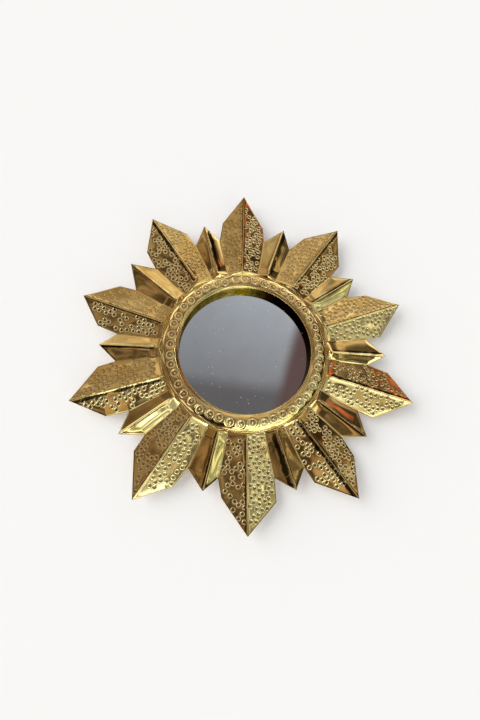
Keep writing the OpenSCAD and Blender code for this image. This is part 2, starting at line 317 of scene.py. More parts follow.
def put(tree, kind, inputs=None, **settings):
    """Adds a node with its settings, and with values or links for its inputs."""
    made = tree.nodes.new(kind)
    for key, value in settings.items():
        setattr(made, key, value)
    for key, value in (inputs or {}).items():
        feed(tree, made.inputs[key], value)
    return made


def calc(tree, operation, *values):
    """The result of a sum on one, two or three numbers."""
    made = put(tree, "ShaderNodeMath", operation=operation)
    for socket, value in zip(made.inputs, values):
        feed(tree, socket, value)
    return made.outputs[0]


def vector(tree, operation, *values, output=0):
    """The result of a vector sum."""
    made = put(tree, "ShaderNodeVectorMath", operation=operation)
    for socket, value in zip(made.inputs, values):
        feed(tree, socket, value)
    return made.outputs[output]


def ease(tree, value, low, high, start=0.0, end=1.0):
    """Goes smoothly from start to end while value goes from low to high."""
    made = put(tree, "ShaderNodeMapRange", {0: value, 1: low, 2: high, 3: start, 4: end},
               interpolation_type="SMOOTHSTEP")
    return made.outputs[0]


def scale(tree, value, low, high, start=0.0, end=1.0):
    """Goes evenly from start to end while value goes from low to high."""
    return put(tree, "ShaderNodeMapRange", {0: value, 1: low, 2: high, 3: start, 4: end}).outputs[0]


def noise(tree, place, length, detail=2.0, roughness=0.5):
    """Noise with waves of about that length, in millimetres, or of a scale that a socket gives."""
    made = put(tree, "ShaderNodeTexNoise",
               {"Vector": place, "Detail": detail, "Roughness": roughness})
    feed(tree, made.inputs["Scale"], 1 / (length * MM) if isinstance(length, (int, float)) else length)
    return made.outputs[0]


def tint(tree, amount, first, second, blend="MIX"):
    """Mixes two colours."""
    made = put(tree, "ShaderNodeMix", data_type="RGBA", blend_type=blend)
    for number, value in ((0, amount), (6, first), (7, second)):
        if isinstance(value, (tuple, list)) and len(value) == 3:
            value = (*value, 1.0)
        feed(tree, made.inputs[number], value)
    return made.outputs[2]


def attribute(tree, name):
    """A number that the mesh carries, read in a material."""
    return put(tree, "ShaderNodeAttribute", attribute_name=name).outputs["Fac"]


# Finishes

def new_finish(name):
    """An empty material with a Principled shader, and its place in the mesh's own coordinates."""
    made = bpy.data.materials.new(name)
    made.use_nodes = True
    tree = made.node_tree
    shader = tree.nodes["Principled BSDF"]
    place = put(tree, "ShaderNodeTexCoord").outputs["Object"]
    return made, tree, shader, place


def bump(tree, shader, layers):
    """Stacks bumps on a shader: each layer has its height, its depth in mm and its strength."""
    normal = None
    for height, depth, strength in layers:
        made = put(tree, "ShaderNodeBump",
                   {"Strength": strength, "Distance": depth * MM, "Height": height})
        if normal is not None:
            feed(tree, made.inputs["Normal"], normal)
        normal = made.outputs[0]
    feed(tree, shader.inputs["Normal"], normal)


def brass(name, bright, warm, gloss, edge_darkening=0.0, patina=0.0, pitted=0.3, marks=False):
    """A brass finish: two drifting tones, stains, pits, rubbed scratches and, where the mesh
    carries marks, their tarnish, cut edges darkened, rims painted pale as rubbed brass and a
    painted highlight, painted highlight lines along the folds and painted dark reflections
    beside the ridges."""
    made, tree, shader, place = new_finish(name)
    finish = bpy.context.scene.mirror_finish
    drift = ease(tree, noise(tree, place, 31, 4, 0.6), 0.38, 0.66)
    base = tint(tree, drift, bright, warm)
    clouds = ease(tree, noise(tree, place, 9, 5, 0.68), 0.54, 0.80, 0.0, 0.16 + patina)
    base = tint(tree, clouds, base, tuple(finish.tarnish))
    pits = ease(tree, noise(tree, place, 1.3, 2, 0.5), 0.70, 0.80, 0.0, pitted)
    base = tint(tree, pits, base, tuple(finish.tarnish))
    stretched = put(tree, "ShaderNodeMapping", {"Vector": place, "Scale": (1.0, 1.0, 6.0),
                                                "Rotation": (0.0, 0.6, 0.0)}).outputs[0]
    rubbed = noise(tree, stretched, 1.6, 3, 0.6)
    grain = noise(tree, place, 0.5, 2, 0.6)
    rough = scale(tree, noise(tree, place, 6, 4, 0.6), 0.3, 0.7, gloss * 0.75, gloss * 1.3)
    rough = calc(tree, "ADD", rough, scale(tree, rubbed, 0.4, 0.7, 0.0, gloss * 0.35))
    rough = calc(tree, "ADD", rough, calc(tree, "MULTIPLY", clouds, 0.2))
    layers = [(rubbed, 0.006, 0.25), (grain, 0.004, 0.2)]
    if marks:
        dish = attribute(tree, "dish")
        groove = attribute(tree, "groove")
        behind = attribute(tree, "behind")
        rim = attribute(tree, "rim")
        polish_and_glint = attribute(tree, "polish_and_glint")
        sunk = calc(tree, "MULTIPLY", dish, scale(tree, polish_and_glint, 0.0, 1.0, 0.35, 0.90))
        base = tint(tree, sunk, base, tuple(finish.tarnish))
        # Hard-punched rims are painted pale: rubbed brass and a painted highlight
        line = tint(tree, polish_and_glint, tuple(finish.tarnish), tuple(finish.rubbed))
        shown = scale(tree, polish_and_glint, 0.0, 1.0, 0.75, 0.90)
        base = tint(tree, calc(tree, "MULTIPLY", groove, shown), base, line)
        # A black streak beside the ridge: a painted dark reflection
        dark_reflection = attribute(tree, "dark_reflection")
        uneven = calc(tree, "SUBTRACT", noise(tree, place, 9, 4, 0.7), 0.5)
        dark_reflection_mask = ease(tree, calc(tree, "MULTIPLY_ADD", uneven, 3.6, dark_reflection), 0.35, 0.75, 0.0, 0.92)
        dark_reflection_mask = calc(tree, "MULTIPLY", dark_reflection_mask, calc(tree, "GREATER_THAN", dark_reflection, 0.01))
        base = tint(tree, dark_reflection_mask, base, tuple(finish.painted_dark_reflection))
        # A pale line along the ridge and the seams: a painted highlight
        fold = attribute(tree, "fold")
        base = tint(tree, fold, base, tuple(finish.rubbed))
        # Painted highlight lines and pale rims are made less metallic, so their pale colour shows as
        # light
        rubbed_and_glint = calc(tree, "MAXIMUM", fold, calc(tree, "MULTIPLY", groove, polish_and_glint))
        feed(tree, shader.inputs["Metallic"], scale(tree, rubbed_and_glint, 0.0, 1.0, 1.0, 0.66))
        # Darker towards a cut edge
        base = tint(tree, calc(tree, "MULTIPLY", rim, edge_darkening), base, tuple(finish.tarnish))
        base = tint(tree, calc(tree, "MULTIPLY", behind, 0.45), base, tuple(finish.dull_brass))
        rough = calc(tree, "ADD", rough, calc(tree, "MULTIPLY", dish, 0.12))
        rough = calc(tree, "ADD", rough, calc(tree, "MULTIPLY", groove, 0.08))
        rough = calc(tree, "ADD", rough, calc(tree, "MULTIPLY", behind, 0.22))
    feed(tree, shader.inputs["Base Color"], base)
    feed(tree, shader.inputs["Roughness"], calc(tree, "MINIMUM", rough, 0.9))
    if not marks:
        shader.inputs["Metallic"].default_value = 1.0
    bump(tree, shader, layers)
    return made


def reveal_finish():
    """Dark olive brass, a painted dark reflection, darker towards its right side, with a painted
    highlight of plain brass along its front edge.
    """
    finish = bpy.context.scene.mirror_finish
    made, tree, shader, place = new_finish("reveal_olive")
    where = put(tree, "ShaderNodeSeparateXYZ", {0: place}).outputs
    height = calc(tree, "MULTIPLY", where["Y"], -1 / MM)
    across = calc(tree, "MULTIPLY", where["X"], 1 / MM)
    stains = ease(tree, noise(tree, place, 14, 5, 0.65), 0.35, 0.62)
    # Dark olive, a painted dark reflection, with random stains
    base = tint(tree, stains, tuple(finish.olive), tuple(finish.dark_olive))
    ragged = scale(tree, noise(tree, place, 12, 3), 0.3, 0.7, -8.0, 8.0)
    # Darker towards the right side of the band
    darker_right = ease(tree, calc(tree, "ADD", across, ragged), -4.0, 36.0)
    base = tint(tree, darker_right, base, tuple(finish.darker_right))
    # The lip is painted plain brass: a painted highlight along its bend
    painted_glint = ease(tree, height, *LIP_HIGHLIGHT)
    base = tint(tree, painted_glint, base, tuple(finish.brass))
    feed(tree, shader.inputs["Base Color"], base)
    rough = scale(tree, noise(tree, place, 4, 4, 0.6), 0.3, 0.7, 0.24, 0.40)
    feed(tree, shader.inputs["Roughness"],
         calc(tree, "MULTIPLY", rough, scale(tree, painted_glint, 0.0, 1.0, 1.0, 0.45)))
    shader.inputs["Metallic"].default_value = 1.0
    shader.inputs["Specular Tint"].default_value = (0.44, 0.40, 0.30, 1.0)
    bump(tree, shader, [(noise(tree, place, 3.2, 3, 0.6), 0.10, 0.35)])
    return made


def glass_finish():
    """Silvered glass with tiny light and dark specks of age."""
    finish = bpy.context.scene.mirror_finish
    made, tree, shader, place = new_finish("silvered_glass")
    speck = put(tree, "ShaderNodeTexVoronoi", {"Vector": place, "Scale": 1 / (3.6 * MM)})
    chance = put(tree, "ShaderNodeSeparateXYZ", {0: speck.outputs["Color"]})
    spot = ease(tree, speck.outputs["Distance"], 0.06, 0.15, 1.0, 0.0)
    pale = calc(tree, "MULTIPLY", spot, scale(tree, chance.outputs[0], 0.55, 1.0, 0.0, 1.0))
    dark = calc(tree, "MULTIPLY", spot, calc(tree, "LESS_THAN", chance.outputs[0], 0.10))
    haze = ease(tree, noise(tree, place, 38, 3, 0.55), 0.40, 0.75)
    base = tint(tree, haze, tuple(finish.silver), (0.79, 0.79, 0.80))
    base = tint(tree, calc(tree, "MULTIPLY", dark, 0.6), base, (0.10, 0.09, 0.08))
    base = tint(tree, pale, base, (0.97, 0.97, 0.97))
    feed(tree, shader.inputs["Base Color"], base)
    feed(tree, shader.inputs["Metallic"], scale(tree, pale, 0.0, 1.0, 1.0, 0.3))
    dusty = calc(tree, "MAXIMUM", pale, calc(tree, "MULTIPLY", dark, 0.7))
    feed(tree, shader.inputs["Roughness"],
         calc(tree, "ADD", scale(tree, haze, 0.0, 1.0, 0.015, 0.05),
              calc(tree, "MULTIPLY", dusty, 0.4)))
    shader.inputs["Coat Weight"].default_value = 0.4
    shader.inputs["Coat Roughness"].default_value = 0.02
    return made


def card_finish():
    """Grey-brown board with fibres."""
    finish = bpy.context.scene.mirror_finish
    made, tree, shader, place = new_finish("grey_board")
    fibres = noise(tree, place, 0.8, 5, 0.7)
    tone = noise(tree, place, 9, 3, 0.6)
    base = tint(tree, ease(tree, tone, 0.35, 0.65), tuple(finish.card), (0.24, 0.18, 0.12))
    base = tint(tree, ease(tree, fibres, 0.45, 0.75, 0.0, 0.6), base, (0.46, 0.38, 0.27))
    feed(tree, shader.inputs["Base Color"], base)
    shader.inputs["Roughness"].default_value = 0.85
    bump(tree, shader, [(fibres, 0.08, 0.5)])
    return made


# Meshes

def new_piece(name, points, faces, marks=None):
    """A mesh object from points in millimetres, with numbers that each point carries."""
    mesh = bpy.data.meshes.new(name)
    mesh.from_pydata([tuple(p) for p in (np.asarray(points) * MM)], [], faces)
    for mark, values in (marks or {}).items():
        layer = mesh.attributes.new(mark, "FLOAT", "POINT")
        layer.data.foreach_set("value", np.asarray(values, np.float32))
    mesh.update()
    piece = bpy.data.objects.new(name, mesh)
    bpy.context.scene.collection.objects.link(piece)
    return piece


def input_of(tree, name):
    """The identifier of a node group's input."""
    return next(item.identifier for item in tree.interface.items_tree if item.name == name)


def worked(piece, tree, finish, **inputs):
    """Runs a piece's geometry nodes once, and keeps the result as its plain mesh."""
    modifier = piece.modifiers.new("Work", "NODES")
    modifier.node_group = tree
    modifier[input_of(tree, "Finish")] = finish
    for name, value in inputs.items():
        modifier[input_of(tree, name.replace("_", " ").capitalize())] = value
    graph = bpy.context.evaluated_depsgraph_get()
    made = bpy.data.meshes.new_from_object(
        piece.evaluated_get(graph), preserve_all_data_layers=True, depsgraph=graph
    )
    piece.modifiers.remove(modifier)
    rough, piece.data = piece.data, made
    bpy.data.meshes.remove(rough)
    made.name = piece.name


def smooth(piece, angle=60):
    """Shades a piece smooth, apart from edges sharper than angle."""
    mesh = piece.data
    mesh.polygons.foreach_set("use_smooth", np.ones(len(mesh.polygons), bool))
    mesh.set_sharp_from_angle(angle=math.radians(angle))
    mesh.update()


def place(piece, slot, *nodes, body="mirror"):
    """A finished piece takes its solids' place and their body. Its slot is not used."""
    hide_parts(*nodes)
    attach(piece, body)


def distance_to(points, start, end):
    """Distance of flat points from the line between start and end."""
    line = end - start
    along = np.clip(((points - start) @ line) / (line @ line), 0, 1)
    return np.linalg.norm(points - start - along[:, None] * line, axis=1)


def eased(value, low, high):
    """Smooth step of an array, from 0 at low to 1 at high."""
    t = np.clip((value - low) / (high - low), 0, 1)
    return t * t * (3 - 2 * t)


class RaySheet:
    """A ray's folded sheet, laid out from the corners of its solid, with the ray pointing up.

    Points are (across, along, height). The front is a grid of rows from the root to the tip,
    and the back has a third as many rows and columns.
    """

    def __init__(self, node, angle):
        sizes = bpy.context.scene.mirror_sheet
        turn = math.radians(angle)
        self.turn = np.array([[math.cos(turn), math.sin(turn)], [-math.sin(turn), math.cos(turn)]])
        solid = np.array([v.co for v in frame["nodes"][node].data.vertices]) / MM
        flat = np.stack([solid[:, 0] * math.cos(turn) - solid[:, 2] * math.sin(turn),
                         solid[:, 0] * math.sin(turn) + solid[:, 2] * math.cos(turn)], axis=1)
        corners = {}
        for (across, along), height in zip(flat, -solid[:, 1]):
            if along > HOLES_END or abs(across) > HOLES_HALF_WIDTH:
                key = (round(across, 1), round(along, 1))
                if key not in corners or corners[key][2] < height:
                    corners[key] = np.array([across, along, height])
        points = sorted(corners.values(), key=lambda p: p[1])
        self.tip = points.pop()
        near, far = FOOT_RANGE
        self.foot = min((p for p in points if near < p[1] < far), key=lambda p: abs(p[0]))
        rest = [p for p in points if p is not self.foot]
        half_gap = np.array([sizes.seam_gap / 2, 0, 0])
        self.edges = []
        for side in (-1, 1):
            edge = [p for p in rest if p[0] * side > 0]
            self.edges.append([p + side * half_gap * (n < 3) for n, p in enumerate(edge)])
        self.large = len(self.edges[0]) == 4
        self.root_height = self.edges[0][0][2]

    def ridge_at(self, along):
        """The flat point of the ridge at that distance along the ray."""
        share = (along - self.foot[1]) / (self.tip[1] - self.foot[1])
        return self.foot[:2] + share * (self.tip - self.foot)[:2]

    def chains(self):
        """Key points of the left edge, the middle and the right edge, row by row."""
        left, right = self.edges
        middle = [(left[n][:2] + right[n][:2]) / 2 for n in (0, 1)] + [self.foot[:2]]
        middle += [self.ridge_at((a[1] + b[1]) / 2) for a, b in zip(left[2:], right[2:])]
        middle = [np.array([*p, self.tip[2]]) for p in middle] + [self.tip]
        sides = []
        for edge in (left, right):
            share = (self.foot[1] - edge[1][1]) / (edge[2][1] - edge[1][1])
            beside_foot = edge[1] + share * (edge[2] - edge[1])
            sides.append(edge[:2] + [beside_foot] + edge[2:] + [self.tip])
        return sides[0], middle, sides[1]

    def grid(self, pitch, width, bulges):
        """Points of the front, row by row, ending in the tip, the number of rows and columns,
        and which points are on the right side."""
        columns = THIRD * math.ceil(width / pitch / THIRD)
        across = np.linspace(0, 1, columns + 1)[:, None]
        if not self.large:  # finer beside the ridge and the edges
            across = across - FINER_COLUMNS * np.sin(math.tau * across)
        belly = 4 * across * (1 - across)
        rows = []
        chains = self.chains()
        for n in range(len(chains[0]) - 1):
            longest = max(np.linalg.norm(chain[n + 1] - chain[n]) for chain in chains)
            step = pitch if n else 3 * pitch  # the root is hidden under the collar
            count = THIRD * max(1, math.ceil(longest / step / THIRD))
            for k in range(count):
                left, middle, right = (c[n] + (c[n + 1] - c[n]) * k / count for c in chains)
                free = eased(middle[1], *BULGE_START)
                out = [np.array([0, 0, bulge * free * np.linalg.norm(middle - edge) / width])
                       for bulge, edge in zip(bulges, (left, right))]
                rows.append(np.concatenate([
                    (left + (middle - left) * across + out[0] * belly)[:-1],
                    middle + (right - middle) * across + out[1] * belly]))
        points = np.concatenate(rows + [self.tip[None]])
        right_row = np.arange(2 * columns + 1) > columns
        return points, len(rows), 2 * columns + 1, np.append(np.tile(right_row, len(rows)), False)

    def shape(self, points):
        """Distances from the ridge, the seams and the cut edges, and the shared change of height."""
        sizes = bpy.context.scene.mirror_sheet
        slope = sizes.large_slope if self.large else sizes.small_slope
        hollow = sizes.large_hollow if self.large else sizes.small_hollow
        reach = sizes.large_reach if self.large else sizes.small_reach
        ridge = distance_to(points, self.ridge_at(60), self.tip[:2])
        seam = np.full(len(points), np.inf)
        cut = np.full(len(points), np.inf)
        for edge in self.edges:
            ends = [p[:2] for p in edge] + [self.tip[:2]]
            for n, (a, b) in enumerate(zip(ends, ends[1:])):
                if n < 2:
                    seam = np.minimum(seam, distance_to(points, a, b))
                else:
                    cut = np.minimum(cut, distance_to(points, a, b))
        change = np.zeros(len(points))
        for distance, width, way in ((ridge, sizes.ridge_round, -1), (seam, sizes.seam_round, 1)):
            half = slope * width / 2
            fall = slope * np.maximum(distance - sizes.crease_flat, 0)
            flat = slope * np.maximum(sizes.crease_flat - distance, 0)
            change += way * (np.sqrt(fall ** 2 + half ** 2) - fall + flat)
        change -= hollow * (1 - np.exp(-ridge / reach)) * eased(points[:, 1], *HOLLOW_START)
        width = sizes.fold_width
        fold = np.where(ridge < width, (1 - (ridge / width) ** 4) ** 2, 0)
        rise = sizes.fold_rise * (LARGE_FOLD_SHARE if self.large else 1)
        change += rise * fold * eased(points[:, 1], *FOLD_START)
        return ridge, seam, cut, change

    def rooted(self, heights, radii):
        """Brings the facets down to the flat root where they meet the collar."""
        sizes = bpy.context.scene.mirror_sheet
        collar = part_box("collar")[1][0] / MM
        ramp = self.root_height + sizes.root_rise + (radii - collar) * sizes.root_slope
        gap = heights - ramp
        lower = (heights + ramp - np.sqrt(gap ** 2 + sizes.root_round ** 2)) / 2
        near = np.clip(1 - (radii - collar) / sizes.fillet_reach, 0, 1) ** 2
        near *= sizes.fillet_rise * eased(radii, collar - 1.5, collar)
        floor = self.root_height - np.maximum(radii - collar - 1, 0)
        return np.maximum(lower, floor) + near

    def build(self, name, pitch, bulges, stains, fold_highlights, punching=((0, 0), (0, 0))):
        """The ray's mesh before it is punched and hammered."""
        sizes = bpy.context.scene.mirror_sheet
        width = max(abs(p[0]) for edge in self.edges for p in edge)
        front, rows, wide, right_side = self.grid(pitch, width, bulges)
        flat = front[:, :2]
        radii = np.hypot(*flat.T)
        ridge, seam, cut, change = self.shape(flat)
        surface = self.rooted(front[:, 2] + change, radii)
        roll = sizes.edge_roll * np.clip(1 - cut / sizes.edge_width, 0, 1) ** 2
        tip = rows * wide
        back_rows = list(range(0, rows, THIRD))
        back_columns = list(range(0, wide, THIRD))
        behind = [row * wide + column for row in back_rows for column in back_columns] + [tip]
        heights = np.concatenate([surface - roll, surface[behind] - sizes.sheet])
        across, along = np.concatenate([flat, flat[behind]]).T
        cos, sin = self.turn[0]
        points = np.stack([across * cos + along * sin, -heights, along * cos - across * sin], axis=1)
        punching = np.array(punching, float)[right_side.astype(int)]
        room = eased(ridge, *RIDGE_MARGIN) * eased(seam, *SEAM_MARGIN) * eased(cut, *CUT_MARGIN)
        room *= eased(radii, *PUNCH_START)
        blank = np.zeros(len(behind))
        force = punching[:, 1] * eased(ridge, *RIDGE_FADE)
        # Where the painted dark reflection, a black streak, lies beside the ridge
        half = np.array(stains, float)[right_side.astype(int)] / 2
        dark_reflection = np.clip(1.5 - 1.5 * np.abs(ridge - 0.5 - half) / np.maximum(half, 0.1), 0, 1)
        dark_reflection *= (half > 0) * eased(radii, *DARK_REFLECTION_START)
        # A pale line along the ridge and the seams, a painted highlight, as strong as the ray's fold
        # highlights give
        on_ridge, on_seam = (eased(distance, sizes.line_width, LINE_CORE)
                             for distance in (ridge, seam))
        painted_glint = np.where(right_side, fold_highlights[2], fold_highlights[1])
        fold = np.maximum(on_ridge * fold_highlights[0], on_seam * painted_glint) * eased(radii, *LINE_START)
        free = eased(radii, *WAVE_START)
        marks = {
            "cover": np.concatenate([punching[:, 0] * room, blank]),
            "force": np.concatenate([force, force[behind]]),
            "free": np.concatenate([free, free[behind]]),
            "behind": np.concatenate([np.zeros(len(front)), blank + 1]),
            "rim": np.concatenate([eased(cut, *RIM_DARKENING), blank]),
            "dark_reflection": np.concatenate([dark_reflection, blank]),
            "fold": np.concatenate([fold, blank]),
        }
        return new_piece(name, points, self.faces(rows, wide, len(front), len(back_columns)), marks)

    @staticmethod
    def faces(rows, wide, back, back_wide):
        """Faces of the front grid, the back grid and the rim between them."""
        tip = rows * wide
        back_rows = rows // THIRD
        back_tip = back + back_rows * back_wide
        faces = []
        for row in range(rows):
            for column in range(wide - 1):
                a = row * wide + column
                above = (a + wide + 1, a + wide) if row < rows - 1 else (tip,)
                faces.append((a, a + 1, *above))
        for row in range(back_rows):
            for column in range(back_wide - 1):
                a = back + row * back_wide + column
                above = (a + back_wide, a + back_wide + 1) if row < back_rows - 1 else (back_tip,)
                faces.append((a + 1, a, *above))

        def rim(front_run, back_run):
            for n in range(len(back_run) - 1):
                a, b, c, d = front_run[THIRD * n:THIRD * n + 4]
                faces.append((a, back_run[n], back_run[n + 1], d, c, b))

        rim(list(range(wide)), [back + n for n in range(back_wide)])
        rim([row * wide + wide - 1 for row in range(rows)] + [tip],
            [back + row * back_wide + back_wide - 1 for row in range(back_rows)] + [back_tip])
        rim([tip] + [row * wide for row in reversed(range(rows))],
            [back_tip] + [back + row * back_wide for row in reversed(range(back_rows))])
        return faces


def turned_ring(name, fine, fine_count, coarse=(), marks=None):
    """A ring turned about the mirror's axis from a section that runs clockwise in (radius, height).

    The fine run of the section has three times as many points round as the coarse one.
    """
    coarse_count = fine_count // THIRD if coarse else 0
    points = []
    for run, count in ((fine, fine_count), (coarse, coarse_count)):
        angles = np.arange(count) * 2 * math.pi / max(count, 1)
        for radius, height in run:
            points.append(np.stack([radius * np.sin(angles), np.full(count, -height),
                                    radius * np.cos(angles)], axis=1))
    faces = []

    def band(first, second, count):
        for n in range(count):
            m = (n + 1) % count
            faces.append((first + n, first + m, second + m, second + n))

    for row in range(len(fine) - 1):
        band(row * fine_count, (row + 1) * fine_count, fine_count)
    end = (len(fine) - 1) * fine_count
    if coarse:
        start = len(fine) * fine_count
        for row in range(len(coarse) - 1):
            band(start + row * coarse_count, start + (row + 1) * coarse_count, coarse_count)
        stop = start + (len(coarse) - 1) * coarse_count
        for n in range(coarse_count):
            m = (n + 1) % coarse_count
            run = [(THIRD * n + k) % fine_count for k in range(4)]
            faces.append((*(end + k for k in run), start + m, start + n))
            faces.append((stop + n, stop + m, *reversed(run)))
    else:
        band(end, 0, fine_count)
    return new_piece(name, np.concatenate(points), faces, marks)


# Geometry nodes

def new_tree(name, sockets):
    """A geometry node group with named inputs, its input node and its output node."""
    tree = bpy.data.node_groups.new(name, "GeometryNodeTree")
    tree.interface.new_socket("Geometry", in_out="INPUT", socket_type="NodeSocketGeometry")
    for title, kind, default in sockets:
        made = tree.interface.new_socket(title, in_out="INPUT", socket_type="NodeSocket" + kind)
        if default is not None:
            made.default_value = default
    tree.interface.new_socket("Finish", in_out="INPUT", socket_type="NodeSocketMaterial")
    tree.interface.new_socket("Geometry", in_out="OUTPUT", socket_type="NodeSocketGeometry")
    return tree, put(tree, "NodeGroupInput"), put(tree, "NodeGroupOutput")


def carried(tree, name):
    """A number that the mesh carries, read in geometry nodes."""
    return put(tree, "GeometryNodeInputNamedAttribute", {"Name": name}).outputs[0]


def keep(tree, geometry, name, value):
    """Stores a number on each point of the mesh."""
    return put(tree, "GeometryNodeStoreNamedAttribute",
               {"Geometry": geometry, "Name": name, "Value": value}).outputs[0]


def close(tree, given, geometry, output):
    """Ends a tree in Realize Instances and Set Material."""
    whole = put(tree, "GeometryNodeRealizeInstances", {0: geometry}).outputs[0]
    painted = put(tree, "GeometryNodeSetMaterial", {"Geometry": whole, "Material": given["Finish"]})
    feed(tree, output.inputs[0], painted.outputs[0])


def pushed(tree, given, offset):
    """The given mesh with its points moved."""
    return put(tree, "GeometryNodeSetPosition",
               {"Geometry": given["Geometry"], "Offset": offset}).outputs[0]


def nearest_mark(tree, struck, position):
    """Distance of the nearest mark, seen from the front, and a number from 0 to 1 of its own."""
    level = vector(tree, "MULTIPLY", position, FLATTEN)
    nearest = put(tree, "GeometryNodeProximity", {0: struck, 2: level}, target_element="POINTS").outputs
    return nearest["Distance"], put(tree, "ShaderNodeTexWhiteNoise", {0: nearest["Position"]}).outputs[0]


def vector_scaled(tree, arrow, amount):
    """An arrow times a number."""
    made = put(tree, "ShaderNodeVectorMath", operation="SCALE")
    feed(tree, made.inputs[0], arrow)
    feed(tree, made.inputs["Scale"], amount)
    return made.outputs[0]


def waves(tree, given, position):
    """Height of the sheet's gentle waves, which run along the rays, in metres."""
    flat = vector(tree, "MULTIPLY", position, FLATTEN)
    away = vector(tree, "LENGTH", flat, output=1)
    around = vector_scaled(tree, vector(tree, "NORMALIZE", flat), 0.11)
    along = put(tree, "ShaderNodeCombineXYZ", {"Y": calc(tree, "MULTIPLY", away, 0.5)}).outputs[0]
    broad = noise(tree, vector(tree, "ADD", around, along), given["Wave scale"], 1.0, 0.45)
    swing = calc(tree, "MULTIPLY", calc(tree, "SUBTRACT", broad, 0.5), given["Wave height"])
    return calc(tree, "MULTIPLY", swing, carried(tree, "free"))


def hammered_tree():
    """Moves a sheet in gentle waves."""
    tree, start, end = new_tree("Hammer waves", [
        ("Wave height", "Float", 0.0), ("Wave scale", "Float", 40.0),
    ])
    given = start.outputs
    position = put(tree, "GeometryNodeInputPosition").outputs[0]
    offset = put(tree, "ShaderNodeCombineXYZ", {"Y": waves(tree, given, position)}).outputs[0]
    close(tree, given, pushed(tree, given, offset), end)
    return tree


def ring_punch_tree():
    """Strikes ring marks in seeded patches over a sheet, and moves it in gentle waves."""
    tree, start, end = new_tree("Ring punches", [
        ("Ring radius", "Float", 0.0), ("Ring width", "Float", 0.0), ("Ring height", "Float", 0.0),
        ("Dish depth", "Float", 0.0), ("Pull depth", "Float", 0.0), ("Pull reach", "Float", 0.003),
        ("Spacing", "Float", 0.004), ("Patch scale", "Float", 90.0),
        ("Wave height", "Float", 0.0), ("Wave scale", "Float", 40.0), ("Seed", "Int", 1),
    ])
    given = start.outputs
    position = put(tree, "GeometryNodeInputPosition").outputs[0]
    step = calc(tree, "MULTIPLY", given["Seed"], SEED_STEP)
    shift = put(tree, "ShaderNodeCombineXYZ", {"Y": step}).outputs[0]
    patch = noise(tree, vector(tree, "ADD", position, shift), given["Patch scale"], 1.0, 0.5)
    cover = carried(tree, "cover")
    bar = scale(tree, cover, 0.0, 1.0, 0.66, 0.34)
    chosen = ease(tree, calc(tree, "SUBTRACT", patch, bar), 0.0, 0.03)
    chosen = calc(tree, "MULTIPLY", chosen, calc(tree, "GREATER_THAN", cover, 0.02))
    chosen = calc(tree, "MULTIPLY", chosen, calc(tree, "LESS_THAN", carried(tree, "behind"), 0.5))
    struck = put(tree, "GeometryNodeDistributePointsOnFaces", {
        "Mesh": given["Geometry"], "Distance Min": given["Spacing"], "Density Max": MOST_MARKS,
        "Density Factor": chosen, "Seed": given["Seed"],
    }, distribute_method="POISSON").outputs["Points"]
    level = vector(tree, "MULTIPLY", position, FLATTEN)
    struck = put(tree, "GeometryNodeSetPosition", {"Geometry": struck, "Position": level}).outputs[0]
    distance, hand = nearest_mark(tree, struck, position)
    radius = calc(tree, "MULTIPLY", given["Ring radius"], scale(tree, hand, 0.0, 1.0, 0.9, 1.08))
    force = calc(tree, "MULTIPLY", carried(tree, "force"), scale(tree, hand, 0.0, 1.0, 1.1, 0.6))
    away = calc(tree, "ABSOLUTE", calc(tree, "SUBTRACT", distance, radius))
    groove = calc(tree, "MULTIPLY", ease(tree, away, 0.0, given["Ring width"], 1.0, 0.0), force)
    dish = calc(tree, "MULTIPLY", force, ease(
        tree, distance, calc(tree, "MULTIPLY", radius, 0.45), radius, 1.0, 0.0))
    depth = calc(tree, "SUBTRACT", calc(tree, "MULTIPLY", dish, given["Dish depth"]),
                 calc(tree, "MULTIPLY", groove, given["Ring height"]))
    pull = calc(tree, "MULTIPLY", force, ease(tree, distance, 0.0, given["Pull reach"], 1.0, 0.0))
    depth = calc(tree, "ADD", depth, calc(tree, "MULTIPLY", pull, given["Pull depth"]))
    rise = waves(tree, given, position)
    offset = put(tree, "ShaderNodeCombineXYZ", {"Y": calc(tree, "ADD", depth, rise)}).outputs[0]
    moved = pushed(tree, given, offset)
    # How strongly each rim is painted pale, as rubbed brass and a painted highlight
    line = calc(tree, "MINIMUM", calc(tree, "MULTIPLY", groove, 1.4), 1.0)
    moved = keep(tree, keep(tree, moved, "groove", line), "dish", dish)
    moved = keep(tree, moved, "polish_and_glint", ease(tree, carried(tree, "force"), 0.55, 0.90))
    close(tree, given, moved, end)
    return tree


